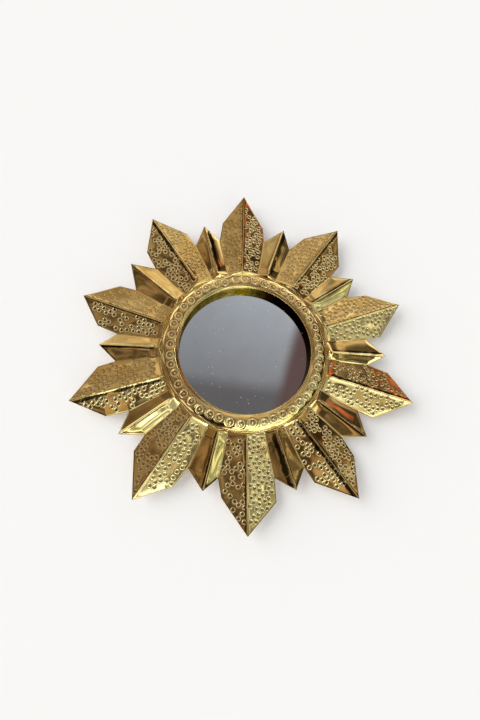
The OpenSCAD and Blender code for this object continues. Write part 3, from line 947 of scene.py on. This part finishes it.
def collar_punch_tree():
    """Strikes a circle of ring-and-dot marks round the collar, each a little off its place."""
    tree, start, end = new_tree("Collar punches", [
        ("Count", "Int", 45), ("Circle", "Float", 0.0), ("Stray", "Float", 0.0),
        ("Ring radius", "Float", 0.0), ("Ring width", "Float", 0.0), ("Ring height", "Float", 0.0),
        ("Sink", "Float", 0.0), ("Dot radius", "Float", 0.0), ("Dot height", "Float", 0.0),
        ("Seed", "Int", 3),
    ])
    given = start.outputs
    position = put(tree, "GeometryNodeInputPosition").outputs[0]
    index = put(tree, "GeometryNodeInputIndex").outputs[0]

    def stray(number):
        drawn = put(tree, "FunctionNodeRandomValue", data_type="FLOAT")
        for socket, value in ((2, -1.0), (3, 1.0), (7, index)):
            feed(tree, drawn.inputs[socket], value)
        feed(tree, drawn.inputs[8], calc(tree, "ADD", given["Seed"], number))
        return drawn.outputs[1]

    radius = calc(tree, "MULTIPLY_ADD", stray(0.0), given["Stray"], given["Circle"])
    turn = calc(tree, "DIVIDE", math.tau, given["Count"])
    aside = calc(tree, "DIVIDE", calc(tree, "MULTIPLY", stray(1.0), given["Stray"]), given["Circle"])
    around = calc(tree, "MULTIPLY_ADD", index, turn, aside)
    spot = put(tree, "ShaderNodeCombineXYZ", {
        "X": calc(tree, "MULTIPLY", radius, calc(tree, "SINE", around)),
        "Z": calc(tree, "MULTIPLY", radius, calc(tree, "COSINE", around)),
    }).outputs[0]
    struck = put(tree, "GeometryNodePoints", {"Count": given["Count"], "Position": spot}).outputs[0]
    distance, hand = nearest_mark(tree, struck, position)
    force = calc(tree, "MULTIPLY", carried(tree, "cover"), scale(tree, hand, 0.0, 1.0, 0.7, 1.0))
    away = calc(tree, "ABSOLUTE", calc(tree, "SUBTRACT", distance, given["Ring radius"]))
    groove = calc(tree, "MULTIPLY", ease(tree, away, 0.0, given["Ring width"], 1.0, 0.0), force)
    dot = calc(tree, "MULTIPLY", ease(tree, distance, 0.0, given["Dot radius"], 1.0, 0.0), force)
    dish = calc(tree, "MULTIPLY", force, ease(
        tree, distance, given["Dot radius"], given["Ring radius"], 1.0, 0.0))
    wide = calc(tree, "MULTIPLY", given["Ring radius"], 1.6)
    sunk = calc(tree, "MULTIPLY", force, ease(
        tree, distance, given["Ring radius"], wide, given["Sink"], 0.0))
    raised = calc(tree, "ADD", calc(tree, "MULTIPLY", groove, given["Ring height"]),
                  calc(tree, "MULTIPLY", dot, given["Dot height"]))
    dish_depth = calc(tree, "SUBTRACT", given["Dot height"], given["Sink"])
    sunk = calc(tree, "MULTIPLY_ADD", dish, dish_depth, sunk)
    rise = calc(tree, "SUBTRACT", raised, sunk)
    dish = calc(tree, "MULTIPLY", calc(tree, "SUBTRACT", dish, dot), 0.45)
    # The collar's ring and dot are painted pale: rubbed brass and a painted highlight
    groove = calc(tree, "MAXIMUM", groove, dot)
    normal = put(tree, "GeometryNodeInputNormal").outputs[0]
    moved = pushed(tree, given, vector_scaled(tree, normal, rise))
    moved = keep(tree, keep(tree, moved, "groove", groove), "dish", dish)
    close(tree, given, keep(tree, moved, "polish_and_glint", 1.0), end)
    return tree


def in_metres(settings, *names):
    """Some of a settings group's lengths, in metres."""
    return {name: getattr(settings, name) * MM for name in names}


def arc(middle, radius, first, last, count):
    """Points of an arc between two angles, in radians."""
    angles = np.linspace(first, last, count)
    return np.stack([middle[0] + radius * np.cos(angles), middle[1] + radius * np.sin(angles)], axis=1)


def two_digits(number):
    """A ray's number as its solid's name has it."""
    return f"{number:02d}"


# Pieces

class MIRROR_OT_large_rays(Operator):
    """Make the ten large rays, with their ring punches"""

    bl_idname = "mirror.make_large_rays"
    bl_label = "Large rays"

    def execute(self, context):
        sheet, punch, finish = (context.scene.mirror_sheet, context.scene.mirror_punch,
                                context.scene.mirror_finish)
        tree = ring_punch_tree()
        paint = brass("punched_brass", tuple(finish.brass), tuple(finish.brass_warm), gloss=0.045,
                      edge_darkening=0.85, pitted=0.35, marks=True)
        for number, punching in enumerate(PUNCHING, 1):
            node = "large_ray_" + two_digits(number)
            ray = RaySheet(node, (number - 1) * PITCH)
            piece = ray.build("punched_ray_" + two_digits(number), sheet.fine_pitch,
                              BULGES[number - 1][:2], DARK_REFLECTION_WIDTHS[number - 1][:2],
                              FOLD_HIGHLIGHTS[number - 1][:3], punching)
            marks = in_metres(punch, "ring_radius", "ring_width", "ring_height", "dish_depth",
                              "pull_depth", "pull_reach", "spacing")
            worked(piece, tree, paint, **marks, patch_scale=1 / (punch.patch_length * MM),
                   wave_height=sheet.large_wave * MM, wave_scale=1 / (sheet.wave_length * MM),
                   seed=number)
            smooth(piece)
            place(piece, "punched_brass", node)
        return {"FINISHED"}


class MIRROR_OT_small_rays(Operator):
    """Make the ten small rays, plain and folded along the middle"""

    bl_idname = "mirror.make_small_rays"
    bl_label = "Small rays"

    def execute(self, context):
        sheet, finish = context.scene.mirror_sheet, context.scene.mirror_finish
        tree = hammered_tree()
        paint = brass("plain_brass", tuple(finish.brass), tuple(finish.brass_warm), gloss=0.035,
                      edge_darkening=0.85, pitted=0.2, marks=True)
        for number in range(1, RAY_PAIRS + 1):
            node = "small_ray_" + two_digits(number)
            ray = RaySheet(node, (number - 0.5) * PITCH)
            piece = ray.build("folded_ray_" + two_digits(number), sheet.plain_pitch,
                              BULGES[number - 1][2:], DARK_REFLECTION_WIDTHS[number - 1][2:],
                              (FOLD_HIGHLIGHTS[number - 1][3], 0.0, 0.0))
            worked(piece, tree, paint, wave_height=sheet.small_wave * MM,
                   wave_scale=1 / (sheet.wave_length * MM))
            smooth(piece)
            place(piece, "plain_brass", node)
        return {"FINISHED"}


class MIRROR_OT_collar(Operator):
    """Make the domed collar, its bead and its ring-and-dot punches"""

    bl_idname = "mirror.make_collar"
    bl_label = "Collar"

    def execute(self, context):
        sizes, punch, finish = (context.scene.mirror_collar, context.scene.mirror_punch,
                                context.scene.mirror_finish)
        high = np.array(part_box("collar")[1]) / MM
        root = -high[1]
        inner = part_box("reveal_band")[1][0] / MM + sizes.solder_gap
        lip_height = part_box("large_ray_01")[0][1] / -MM
        lip = np.array([inner, lip_height])
        foot = np.array([high[0] - sizes.bead_radius, root + sizes.bead_radius])
        chord = foot - lip
        half = np.linalg.norm(chord) / 2
        drop = math.sqrt(sizes.dome_radius ** 2 - half ** 2)
        centre = (lip + foot) / 2 + np.array([chord[1], -chord[0]]) * drop / (2 * half)
        start, stop = (math.atan2(*(p - centre)[::-1]) for p in (lip, foot))
        stop += sizes.bead_radius * DOME_UNDER_BEAD / sizes.dome_radius
        dome = arc(centre, sizes.dome_radius, start, stop, DOME_POINTS)
        bead = arc(foot, sizes.bead_radius, *map(math.radians, BEAD_ANGLES), BEAD_POINTS)
        under = arc(centre, sizes.dome_radius - sizes.thickness, stop, start, UNDER_POINTS)
        under = under[(under[:, 0] > inner) & (under[:, 1] > root)]
        fine = np.concatenate([dome, bead])
        count = COLLAR_ROUND
        cover = np.concatenate([np.repeat([1.0] * len(dome) + [0.0] * len(bead), count),
                                np.zeros(len(under) * count // THIRD)])
        zeros = np.zeros(len(cover))
        behind = np.concatenate([np.zeros(len(fine) * count), np.ones(len(under) * count // THIRD)])
        piece = turned_ring("punched_collar", [tuple(p) for p in fine], count,
                            [tuple(p) for p in under],
                            {"cover": cover, "behind": behind, "rim": zeros, "dark_reflection": zeros,
                             "fold": zeros})
        paint = brass("collar_brass", tuple(finish.brass), tuple(finish.brass_warm), gloss=0.10,
                      pitted=0.12, marks=True)
        worked(piece, collar_punch_tree(), paint, count=punch.collar_count,
               circle=punch.collar_circle * MM, stray=punch.collar_stray * MM,
               ring_radius=punch.collar_radius * MM, ring_width=punch.collar_width * MM,
               ring_height=punch.collar_height * MM, sink=punch.collar_sink * MM,
               dot_radius=punch.dot_radius * MM, dot_height=punch.dot_height * MM, seed=7)
        smooth(piece)
        place(piece, "collar_brass", "collar")
        return {"FINISHED"}


class MIRROR_OT_reveal(Operator):
    """Make the reveal band between the collar's lip and the glass"""

    bl_idname = "mirror.make_reveal"
    bl_label = "Reveal band"

    def execute(self, context):
        sizes = context.scene.mirror_collar
        low, high = (np.array(corner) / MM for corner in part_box("reveal_band"))
        outer, floor, top = high[0], -high[1], -low[1]
        inner = outer - sizes.wall
        edge = sizes.lip_round
        wall = [(inner, floor + (top - edge - floor) * n / WALL_ROWS) for n in range(WALL_ROWS)]
        inner_edge = arc((inner + edge, top - edge), edge, math.pi, math.pi / 2, EDGE_POINTS)
        outer_edge = arc((outer - edge, top - edge), edge, math.pi / 2, 0, EDGE_POINTS)
        section = [*wall, *inner_edge, *outer_edge, (outer, floor)]
        piece = turned_ring("reveal_wall", section, REVEAL_ROUND)
        piece.data.materials.append(reveal_finish())
        smooth(piece, angle=50)
        place(piece, "reveal_brass", "reveal_band")
        return {"FINISHED"}


class MIRROR_OT_glass(Operator):
    """Finish the round glass and the card behind it"""

    bl_idname = "mirror.finish_glass"
    bl_label = "Glass and card"

    def execute(self, context):
        for node, paint in (("mirror_glass", glass_finish()), ("backing_card", card_finish())):
            mesh = frame["nodes"][node].data
            mesh.materials.clear()
            mesh.materials.append(paint)
        return {"FINISHED"}


def refined(node, name, paint, slot, body="mirror", bevel=0.0, angle=35):
    """A copy of a solid with merged points, rounded edges and smooth shading."""
    mesh = frame["nodes"][node].data.copy()
    mesh.name = name
    shape = bmesh.new()
    shape.from_mesh(mesh)
    bmesh.ops.remove_doubles(shape, verts=shape.verts, dist=0.002 * MM)
    bmesh.ops.dissolve_limit(shape, angle_limit=math.radians(0.4), verts=shape.verts,
                             edges=shape.edges)
    if bevel:
        sharp = [e for e in shape.edges if len(e.link_faces) == 2
                 and e.calc_face_angle(0) > math.radians(angle)]
        bmesh.ops.bevel(shape, geom=sharp, offset=bevel * MM, offset_type="OFFSET", segments=2,
                        profile=0.5, affect="EDGES", clamp_overlap=True)
    bmesh.ops.triangulate(shape, faces=[f for f in shape.faces if len(f.verts) > 4])
    shape.to_mesh(mesh)
    shape.free()
    mesh.materials.clear()
    mesh.materials.append(paint)
    piece = bpy.data.objects.new(name, mesh)
    bpy.context.scene.collection.objects.link(piece)
    smooth(piece, angle)
    place(piece, slot, node, body=body)


class MIRROR_OT_back(Operator):
    """Make the pan behind the glass and the clips that hold it"""

    bl_idname = "mirror.make_back"
    bl_label = "Back pan and clips"

    def execute(self, context):
        finish = context.scene.mirror_finish
        dull = brass("dull_pan_brass", tuple(finish.dull_brass), (0.40, 0.27, 0.12), gloss=0.30,
                     patina=0.25, pitted=0.4)
        satin = brass("satin_clip_brass", (0.60, 0.45, 0.22), (0.48, 0.33, 0.15), gloss=0.24,
                      patina=0.1)
        refined("back_pan", "pressed_pan", dull, "pan_brass", angle=30)
        refined("pan_clips", "bent_clips", satin, "hanger_brass", bevel=0.15)
        return {"FINISHED"}


class MIRROR_OT_hanger(Operator):
    """Make the hanger: its strap, its rivets and its ring"""

    bl_idname = "mirror.make_hanger"
    bl_label = "Hanger"

    def execute(self, context):
        satin = brass("satin_hanger_brass", (0.66, 0.50, 0.24), (0.52, 0.36, 0.16), gloss=0.22,
                      patina=0.05)
        hammered = brass("hammered_rivet_brass", (0.60, 0.42, 0.20), (0.46, 0.28, 0.11), gloss=0.26,
                         patina=0.15)
        refined("hanger_strap", "riveted_strap", satin, "hanger_brass", bevel=0.12)
        refined("hanger_rivets", "strap_rivets", hammered, "rivet_brass", angle=45)
        refined("hanging_ring", "swinging_ring", satin, "hanger_brass", body="ring", angle=50)
        return {"FINISHED"}


# Studio

def zone_group():
    """One soft-edged zone of the room round the mirror, laid over the zones before it."""
    tree = bpy.data.node_groups.new("Room zone", "ShaderNodeTree")
    for title, kind in (("Azimuth", "Float"), ("Elevation", "Float"), ("Below", "Color"),
                        ("Centre azimuth", "Float"), ("Centre elevation", "Float"),
                        ("Half width", "Float"), ("Half height", "Float"), ("Tilt", "Float"),
                        ("Softness", "Float"), ("Strength", "Float"), ("Colour", "Color")):
        tree.interface.new_socket(title, in_out="INPUT", socket_type="NodeSocket" + kind)
    tree.interface.new_socket("Colour", in_out="OUTPUT", socket_type="NodeSocketColor")
    given = put(tree, "NodeGroupInput").outputs
    across = calc(tree, "SUBTRACT", given["Azimuth"], given["Centre azimuth"])
    up = calc(tree, "SUBTRACT", given["Elevation"], given["Centre elevation"])
    tilt = calc(tree, "RADIANS", given["Tilt"])
    cos, sin = calc(tree, "COSINE", tilt), calc(tree, "SINE", tilt)
    u = calc(tree, "ADD", calc(tree, "MULTIPLY", across, cos), calc(tree, "MULTIPLY", up, sin))
    v = calc(tree, "SUBTRACT", calc(tree, "MULTIPLY", up, cos), calc(tree, "MULTIPLY", across, sin))
    u = calc(tree, "POWER", calc(tree, "ABSOLUTE", calc(tree, "DIVIDE", u, given["Half width"])), 3.0)
    v = calc(tree, "POWER", calc(tree, "ABSOLUTE", calc(tree, "DIVIDE", v, given["Half height"])), 3.0)
    reach = calc(tree, "POWER", calc(tree, "ADD", u, v), 1 / 3)
    mask = ease(tree, reach, calc(tree, "SUBTRACT", 1.0, given["Softness"]),
                calc(tree, "ADD", 1.0, given["Softness"]), 1.0, 0.0)
    mask = calc(tree, "MULTIPLY", mask, given["Strength"])
    end = put(tree, "NodeGroupOutput")
    feed(tree, end.inputs[0], tint(tree, mask, given["Below"], given["Colour"]))
    return tree


# What the brass reflects, as zones of (azimuth to the right, elevation, half width, half height,
# tilt, softness, strength, colour), in degrees. Later zones lie over earlier ones.
ROOM = (
    # warm brown zones on the left
    (-26, -1, 30, 22, 0, 0.4, 1.0, (0.21, 0.157, 0.105)),
    (-24, 1, 6, 4, 0, 0.5, 1.0, (0.33, 0.25, 0.165)),
    (-26, -9, 6, 4, 0, 0.5, 0.8, (0.10, 0.07, 0.04)),
    (-37, 14, 7, 9, 0, 0.5, 1.0, (0.135, 0.095, 0.055)),
    (-44, 48, 17, 20, 0, 0.4, 1.0, (0.25, 0.185, 0.11)),
    (-70, 5, 16, 34, 0, 0.5, 0.9, (0.06, 0.045, 0.035)),
    # pale zones above, with a dark middle
    (22, 57, 19, 10, 0, 0.4, 1.0, (1.12, 0.98, 0.68)),
    (4, 58, 4, 4, 0, 0.5, 0.7, (0.16, 0.12, 0.08)),
    (19, 45, 6, 5, 0, 0.5, 0.9, (1.0, 0.86, 0.60)),
    (-16, 60, 12, 6, 0, 0.4, 0.7, (0.70, 0.61, 0.43)),
    (10, 79, 50, 13, 0, 0.2, 1.0, (0.10, 0.065, 0.03)),
    # bright zone below, to the right, with dark spots
    (40, -41, 60, 21, 0, 0.3, 1.0, (2.0, 2.3, 1.75)),
    (24, -37, 7, 6, 0, 0.3, 0.95, (0.10, 0.075, 0.045)),
    (70, -22, 18, 14, 0, 0.3, 1.0, (0.06, 0.065, 0.035)),
    # black zones below, to the left
    (-24, -42, 25, 17, 20, 0.2, 1.0, (0.012, 0.011, 0.010)),
    (-44, -58, 20, 11, 0, 0.3, 1.0, (0.012, 0.011, 0.010)),
    # dim grey-green zones on the right and below, with bright and brown spots
    (34, -3, 24, 11, 0, 0.3, 1.0, (0.43, 0.48, 0.42)),
    (50, -8, 9, 4.5, -25, 0.5, 1.0, (0.95, 1.10, 0.80)),
    (29, 4, 5, 4.5, 0, 0.5, 1.0, (0.95, 1.02, 0.85)),
    (18, -22, 13, 7, -25, 0.3, 1.0, (1.1, 1.22, 1.15)),
    (-8, -17, 9, 14, 0, 0.4, 1.0, (0.24, 0.18, 0.115)),
    (16, -9, 5, 4, 0, 0.5, 0.8, (0.30, 0.29, 0.20)),
    # dark zones on the right, with brown and red-brown spots
    (41, 27, 13, 10, 0, 0.25, 0.95, (0.045, 0.033, 0.025)),
    (37, 42, 9, 7, 0, 0.3, 0.9, (0.05, 0.037, 0.027)),
    (72, 12, 15, 36, 0, 0.3, 1.0, (0.02, 0.017, 0.014)),
    (43, 14, 13, 6, 0, 0.3, 1.0, (0.36, 0.285, 0.17)),
    (50, 14, 4, 5, 0, 0.5, 1.0, (0.55, 0.45, 0.27)),
    (32, 17, 5, 5, 0, 0.4, 0.9, (0.14, 0.07, 0.04)),
    (50, 4, 3, 2, 0, 0.4, 0.8, (0.18, 0.06, 0.03)),
    (40, 33, 3.5, 4, 20, 0.5, 0.9, (0.56, 0.16, 0.065)),
    # bright strips that the folds between the rays catch
    (-6, 1, 5, 1.5, -42, 0.4, 1.0, (1.3, 1.35, 1.15)),
    (24.5, 19, 2.2, 8, 0, 0.4, 1.0, (1.5, 1.6, 1.4)),
)


# Colours from straight down to straight up, each with its share of the way
RAMP = (
    (0.0, (0.30, 0.26, 0.20)), (0.45, (0.24, 0.19, 0.14)), (0.58, (0.34, 0.275, 0.20)),
    (0.70, (0.57, 0.48, 0.35)), (0.80, (0.62, 0.53, 0.39)), (1.0, (0.42, 0.36, 0.28)),
)
GLANCE = (2.1, 2.1, 1.9)  # what lies along the wall, all round

# The plain screen that the glass shows, its two greys and the dark band below them, its brown side
SCREEN = (6.5, 17.7, 10.5, 9, 0, 0.08, 1.0)
SCREEN_GREYS = ((0.235, 0.235, 0.245), (0.42, 0.445, 0.475))
SCREEN_BAND = (0.138, 0.130, 0.132)
SCREEN_SIDE = (15.6, 13, 4.1, 13, -16, 0.22, 1.0, (0.135, 0.082, 0.075))

SKY_TINT = (1.0, 0.965, 1.03)  # colour of the even light on matt surfaces


def ramp_colours(tree, elevation):
    """The room's plain colours, from straight down to straight up."""
    ramp = put(tree, "ShaderNodeValToRGB", {0: scale(tree, elevation, -90.0, 90.0)})
    while len(ramp.color_ramp.elements) < len(RAMP):
        ramp.color_ramp.elements.new(0.5)
    for element, (where, shade) in zip(ramp.color_ramp.elements, RAMP):
        element.position = where
        element.color = (*shade, 1.0)
    return ramp.outputs[0]


def lay_zones(tree, group, azimuth, elevation, below, zones):
    """Lays soft zones over what is below them, one after another."""
    titles = ("Centre azimuth", "Centre elevation", "Half width", "Half height", "Tilt",
              "Softness", "Strength")
    for *measures, shade in zones:
        given = {"Azimuth": azimuth, "Elevation": elevation, "Below": below,
                 "Colour": (*shade, 1.0) if isinstance(shade, tuple) else shade}
        given.update(zip(titles, map(float, measures)))
        below = put(tree, "ShaderNodeGroup", given, node_tree=group).outputs[0]
    return below


def clutter(tree, direction, elevation):
    """How much small things darken or brighten each direction of the room."""
    large = ease(tree, noise(tree, direction, 240, 2, 0.5), 0.40, 0.60, 0.76, 1.24)
    dark = scale(tree, elevation, 18.0, 40.0, 0.38, 0.78)
    light = scale(tree, elevation, 18.0, 40.0, 2.2, 1.28)
    small = ease(tree, noise(tree, direction, 90, 3, 0.6), 0.40, 0.64, dark, light)
    return calc(tree, "MULTIPLY", large, small)


def screen_grey(tree, azimuth, elevation):
    """The screen's grey, lighter upwards and to the right, above its dark band."""
    grey = tint(tree, scale(tree, elevation, 13.0, 26.0), *SCREEN_GREYS)
    level = scale(tree, azimuth, 0.0, 13.0, 0.88, 1.16)
    levels = put(tree, "ShaderNodeCombineColor", {0: level, 1: level, 2: level}).outputs[0]
    grey = tint(tree, 1.0, grey, levels, "MULTIPLY")
    slanted = calc(tree, "MULTIPLY_ADD", azimuth, 0.12, elevation)
    return tint(tree, ease(tree, slanted, 13.2, 15.8), SCREEN_BAND, grey)


def room_world(studio):
    """A world that is pale to the camera, an even sky to matt surfaces, and a room to shiny ones."""
    world = bpy.data.worlds.new("plain_room")
    world.use_nodes = True
    tree = world.node_tree
    tree.nodes.clear()
    direction = put(tree, "ShaderNodeTexCoord").outputs["Generated"]
    x, y, z = put(tree, "ShaderNodeSeparateXYZ", {0: direction}).outputs
    front = calc(tree, "MULTIPLY", y, -1.0)
    azimuth = calc(tree, "DEGREES", calc(tree, "ARCTAN2", x, front))
    elevation = calc(tree, "DEGREES", calc(tree, "ARCSINE", z))
    room = tint(tree, ease(tree, front, 0.30, 0.50, 1.0, 0.0), ramp_colours(tree, elevation), GLANCE)
    group = zone_group()
    room = lay_zones(tree, group, azimuth, elevation, room, ROOM)
    amount = clutter(tree, direction, elevation)
    room = vector(tree, "MULTIPLY", room, put(tree, "ShaderNodeCombineXYZ", {
        "X": amount, "Y": amount, "Z": amount}).outputs[0])
    grey = screen_grey(tree, azimuth, elevation)
    room = lay_zones(tree, group, azimuth, elevation, room, ((*SCREEN, grey), SCREEN_SIDE))
    room = tint(tree, calc(tree, "GREATER_THAN", y, 0.0), room, tuple(studio.pale))
    path = put(tree, "ShaderNodeLightPath").outputs
    sky = tuple(studio.sky * part for part in SKY_TINT)
    seen = tint(tree, path["Is Diffuse Ray"], room, sky)
    seen = tint(tree, path["Is Camera Ray"], seen, tuple(studio.pale))
    shine = put(tree, "ShaderNodeBackground", {"Color": seen})
    shine.inputs["Strength"].default_value = 1.0
    feed(tree, put(tree, "ShaderNodeOutputWorld").inputs["Surface"], shine.outputs[0])
    bpy.context.scene.world = world


def wall_finish(studio):
    """A pale wall that shows the mirror's soft shadow from the front, and nothing from behind."""
    made = bpy.data.materials.new("pale_wall")
    made.use_nodes = True
    tree = made.node_tree
    tree.nodes.clear()
    pale = (*studio.pale, 1.0)
    place_on_wall = put(tree, "ShaderNodeTexCoord").outputs["Object"]
    away = vector(tree, "LENGTH", place_on_wall, output=1)
    share = calc(tree, "MULTIPLY", ease(tree, away, 0.24, 0.40, 1.0, 0.0), studio.shade_share)
    shine = put(tree, "ShaderNodeEmission", {"Color": pale})
    matt = put(tree, "ShaderNodeBsdfDiffuse", {"Color": pale})
    mixed = put(tree, "ShaderNodeMixShader", {0: share, 1: shine.outputs[0], 2: matt.outputs[0]})
    clear = put(tree, "ShaderNodeBsdfTransparent")
    path = put(tree, "ShaderNodeLightPath").outputs
    seen = calc(tree, "MAXIMUM", path["Is Camera Ray"],
                calc(tree, "MAXIMUM", path["Is Glossy Ray"], path["Is Transmission Ray"]))
    facing = calc(tree, "SUBTRACT", 1.0, put(tree, "ShaderNodeNewGeometry").outputs["Backfacing"])
    shown = put(tree, "ShaderNodeMixShader", {0: calc(tree, "MULTIPLY", seen, facing),
                                              1: clear.outputs[0], 2: mixed.outputs[0]})
    feed(tree, put(tree, "ShaderNodeOutputMaterial").inputs["Surface"], shown.outputs[0])
    return made


def camera_place(studio):
    """The camera's matrix, from its place and the side that it looks from."""
    azimuth, elevation, roll = map(math.radians, (studio.azimuth, studio.elevation, studio.roll))
    back = Vector((math.sin(azimuth) * math.cos(elevation), -math.cos(azimuth) * math.cos(elevation),
                   math.sin(elevation)))
    level = Vector((0, 0, 1)).cross(back).normalized()
    right = math.cos(roll) * level + math.sin(roll) * back.cross(level)
    turn = Matrix((right, back.cross(right), back)).transposed().to_4x4()
    return Matrix.Translation(Vector(studio.stand) * MM) @ turn


class MIRROR_OT_studio(Operator):
    """Set up the pale wall, the soft light and the camera"""

    bl_idname = "mirror.make_studio"
    bl_label = "Studio"

    def execute(self, context):
        scene = context.scene
        studio = scene.mirror_studio
        scene.view_settings.view_transform = "Standard"
        room_world(studio)
        half = studio.wall_half
        corners = ((-half, -half), (half, -half), (half, half), (-half, half))
        wall = new_piece("pale_wall", [(x, studio.wall_gap, z) for x, z in corners], [(0, 1, 2, 3)])
        wall.data.materials.append(wall_finish(studio))
        sun = bpy.data.lights.new("soft_sun", "SUN")
        sun.energy = studio.sun
        sun.angle = math.radians(studio.sun_angle)
        lamp = bpy.data.objects.new("soft_sun", sun)
        lamp.rotation_euler = Vector(studio.sun_way).to_track_quat("-Z", "Y").to_euler()
        lamp.visible_glossy = False
        scene.collection.objects.link(lamp)
        lens = bpy.data.cameras.new("camera")
        lens.lens = studio.lens
        lens.sensor_width = 36
        lens.clip_start = 0.01
        camera = bpy.data.objects.new("camera", lens)
        camera.matrix_world = camera_place(studio)
        scene.collection.objects.link(camera)
        scene.camera = camera
        return {"FINISHED"}


class MIRROR_PT_panel(Panel):
    """Lists the mirror's pieces"""

    bl_idname = "MIRROR_PT_panel"
    bl_label = "Snowflake mirror"
    bl_space_type = "VIEW_3D"
    bl_region_type = "UI"
    bl_category = "Mirror"

    def draw(self, context):
        for made in MAKERS:
            self.layout.operator(made.bl_idname)
        for name, group in SETTINGS.items():
            box = self.layout.box()
            for key in group.__annotations__:
                box.prop(getattr(context.scene, name), key)


MAKERS = (MIRROR_OT_large_rays, MIRROR_OT_small_rays, MIRROR_OT_collar, MIRROR_OT_reveal,
          MIRROR_OT_glass, MIRROR_OT_back, MIRROR_OT_hanger, MIRROR_OT_studio)


def register():
    """Registers the settings, the makers and the panel."""
    for made in (*SETTINGS.values(), *MAKERS, MIRROR_PT_panel):
        bpy.utils.register_class(made)
    for name, group in SETTINGS.items():
        setattr(bpy.types.Scene, name, PointerProperty(type=group))


def unregister():
    """Takes them back."""
    for name in SETTINGS:
        delattr(bpy.types.Scene, name)
    for made in reversed((*SETTINGS.values(), *MAKERS, MIRROR_PT_panel)):
        bpy.utils.unregister_class(made)


def main():
    """Makes every piece."""
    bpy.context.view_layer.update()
    register()
    bpy.ops.mirror.make_large_rays()
    bpy.ops.mirror.make_small_rays()
    bpy.ops.mirror.make_collar()
    bpy.ops.mirror.make_reveal()
    bpy.ops.mirror.finish_glass()
    bpy.ops.mirror.make_back()
    bpy.ops.mirror.make_hanger()
    bpy.ops.mirror.make_studio()


if __name__ == "__main__":
    main()
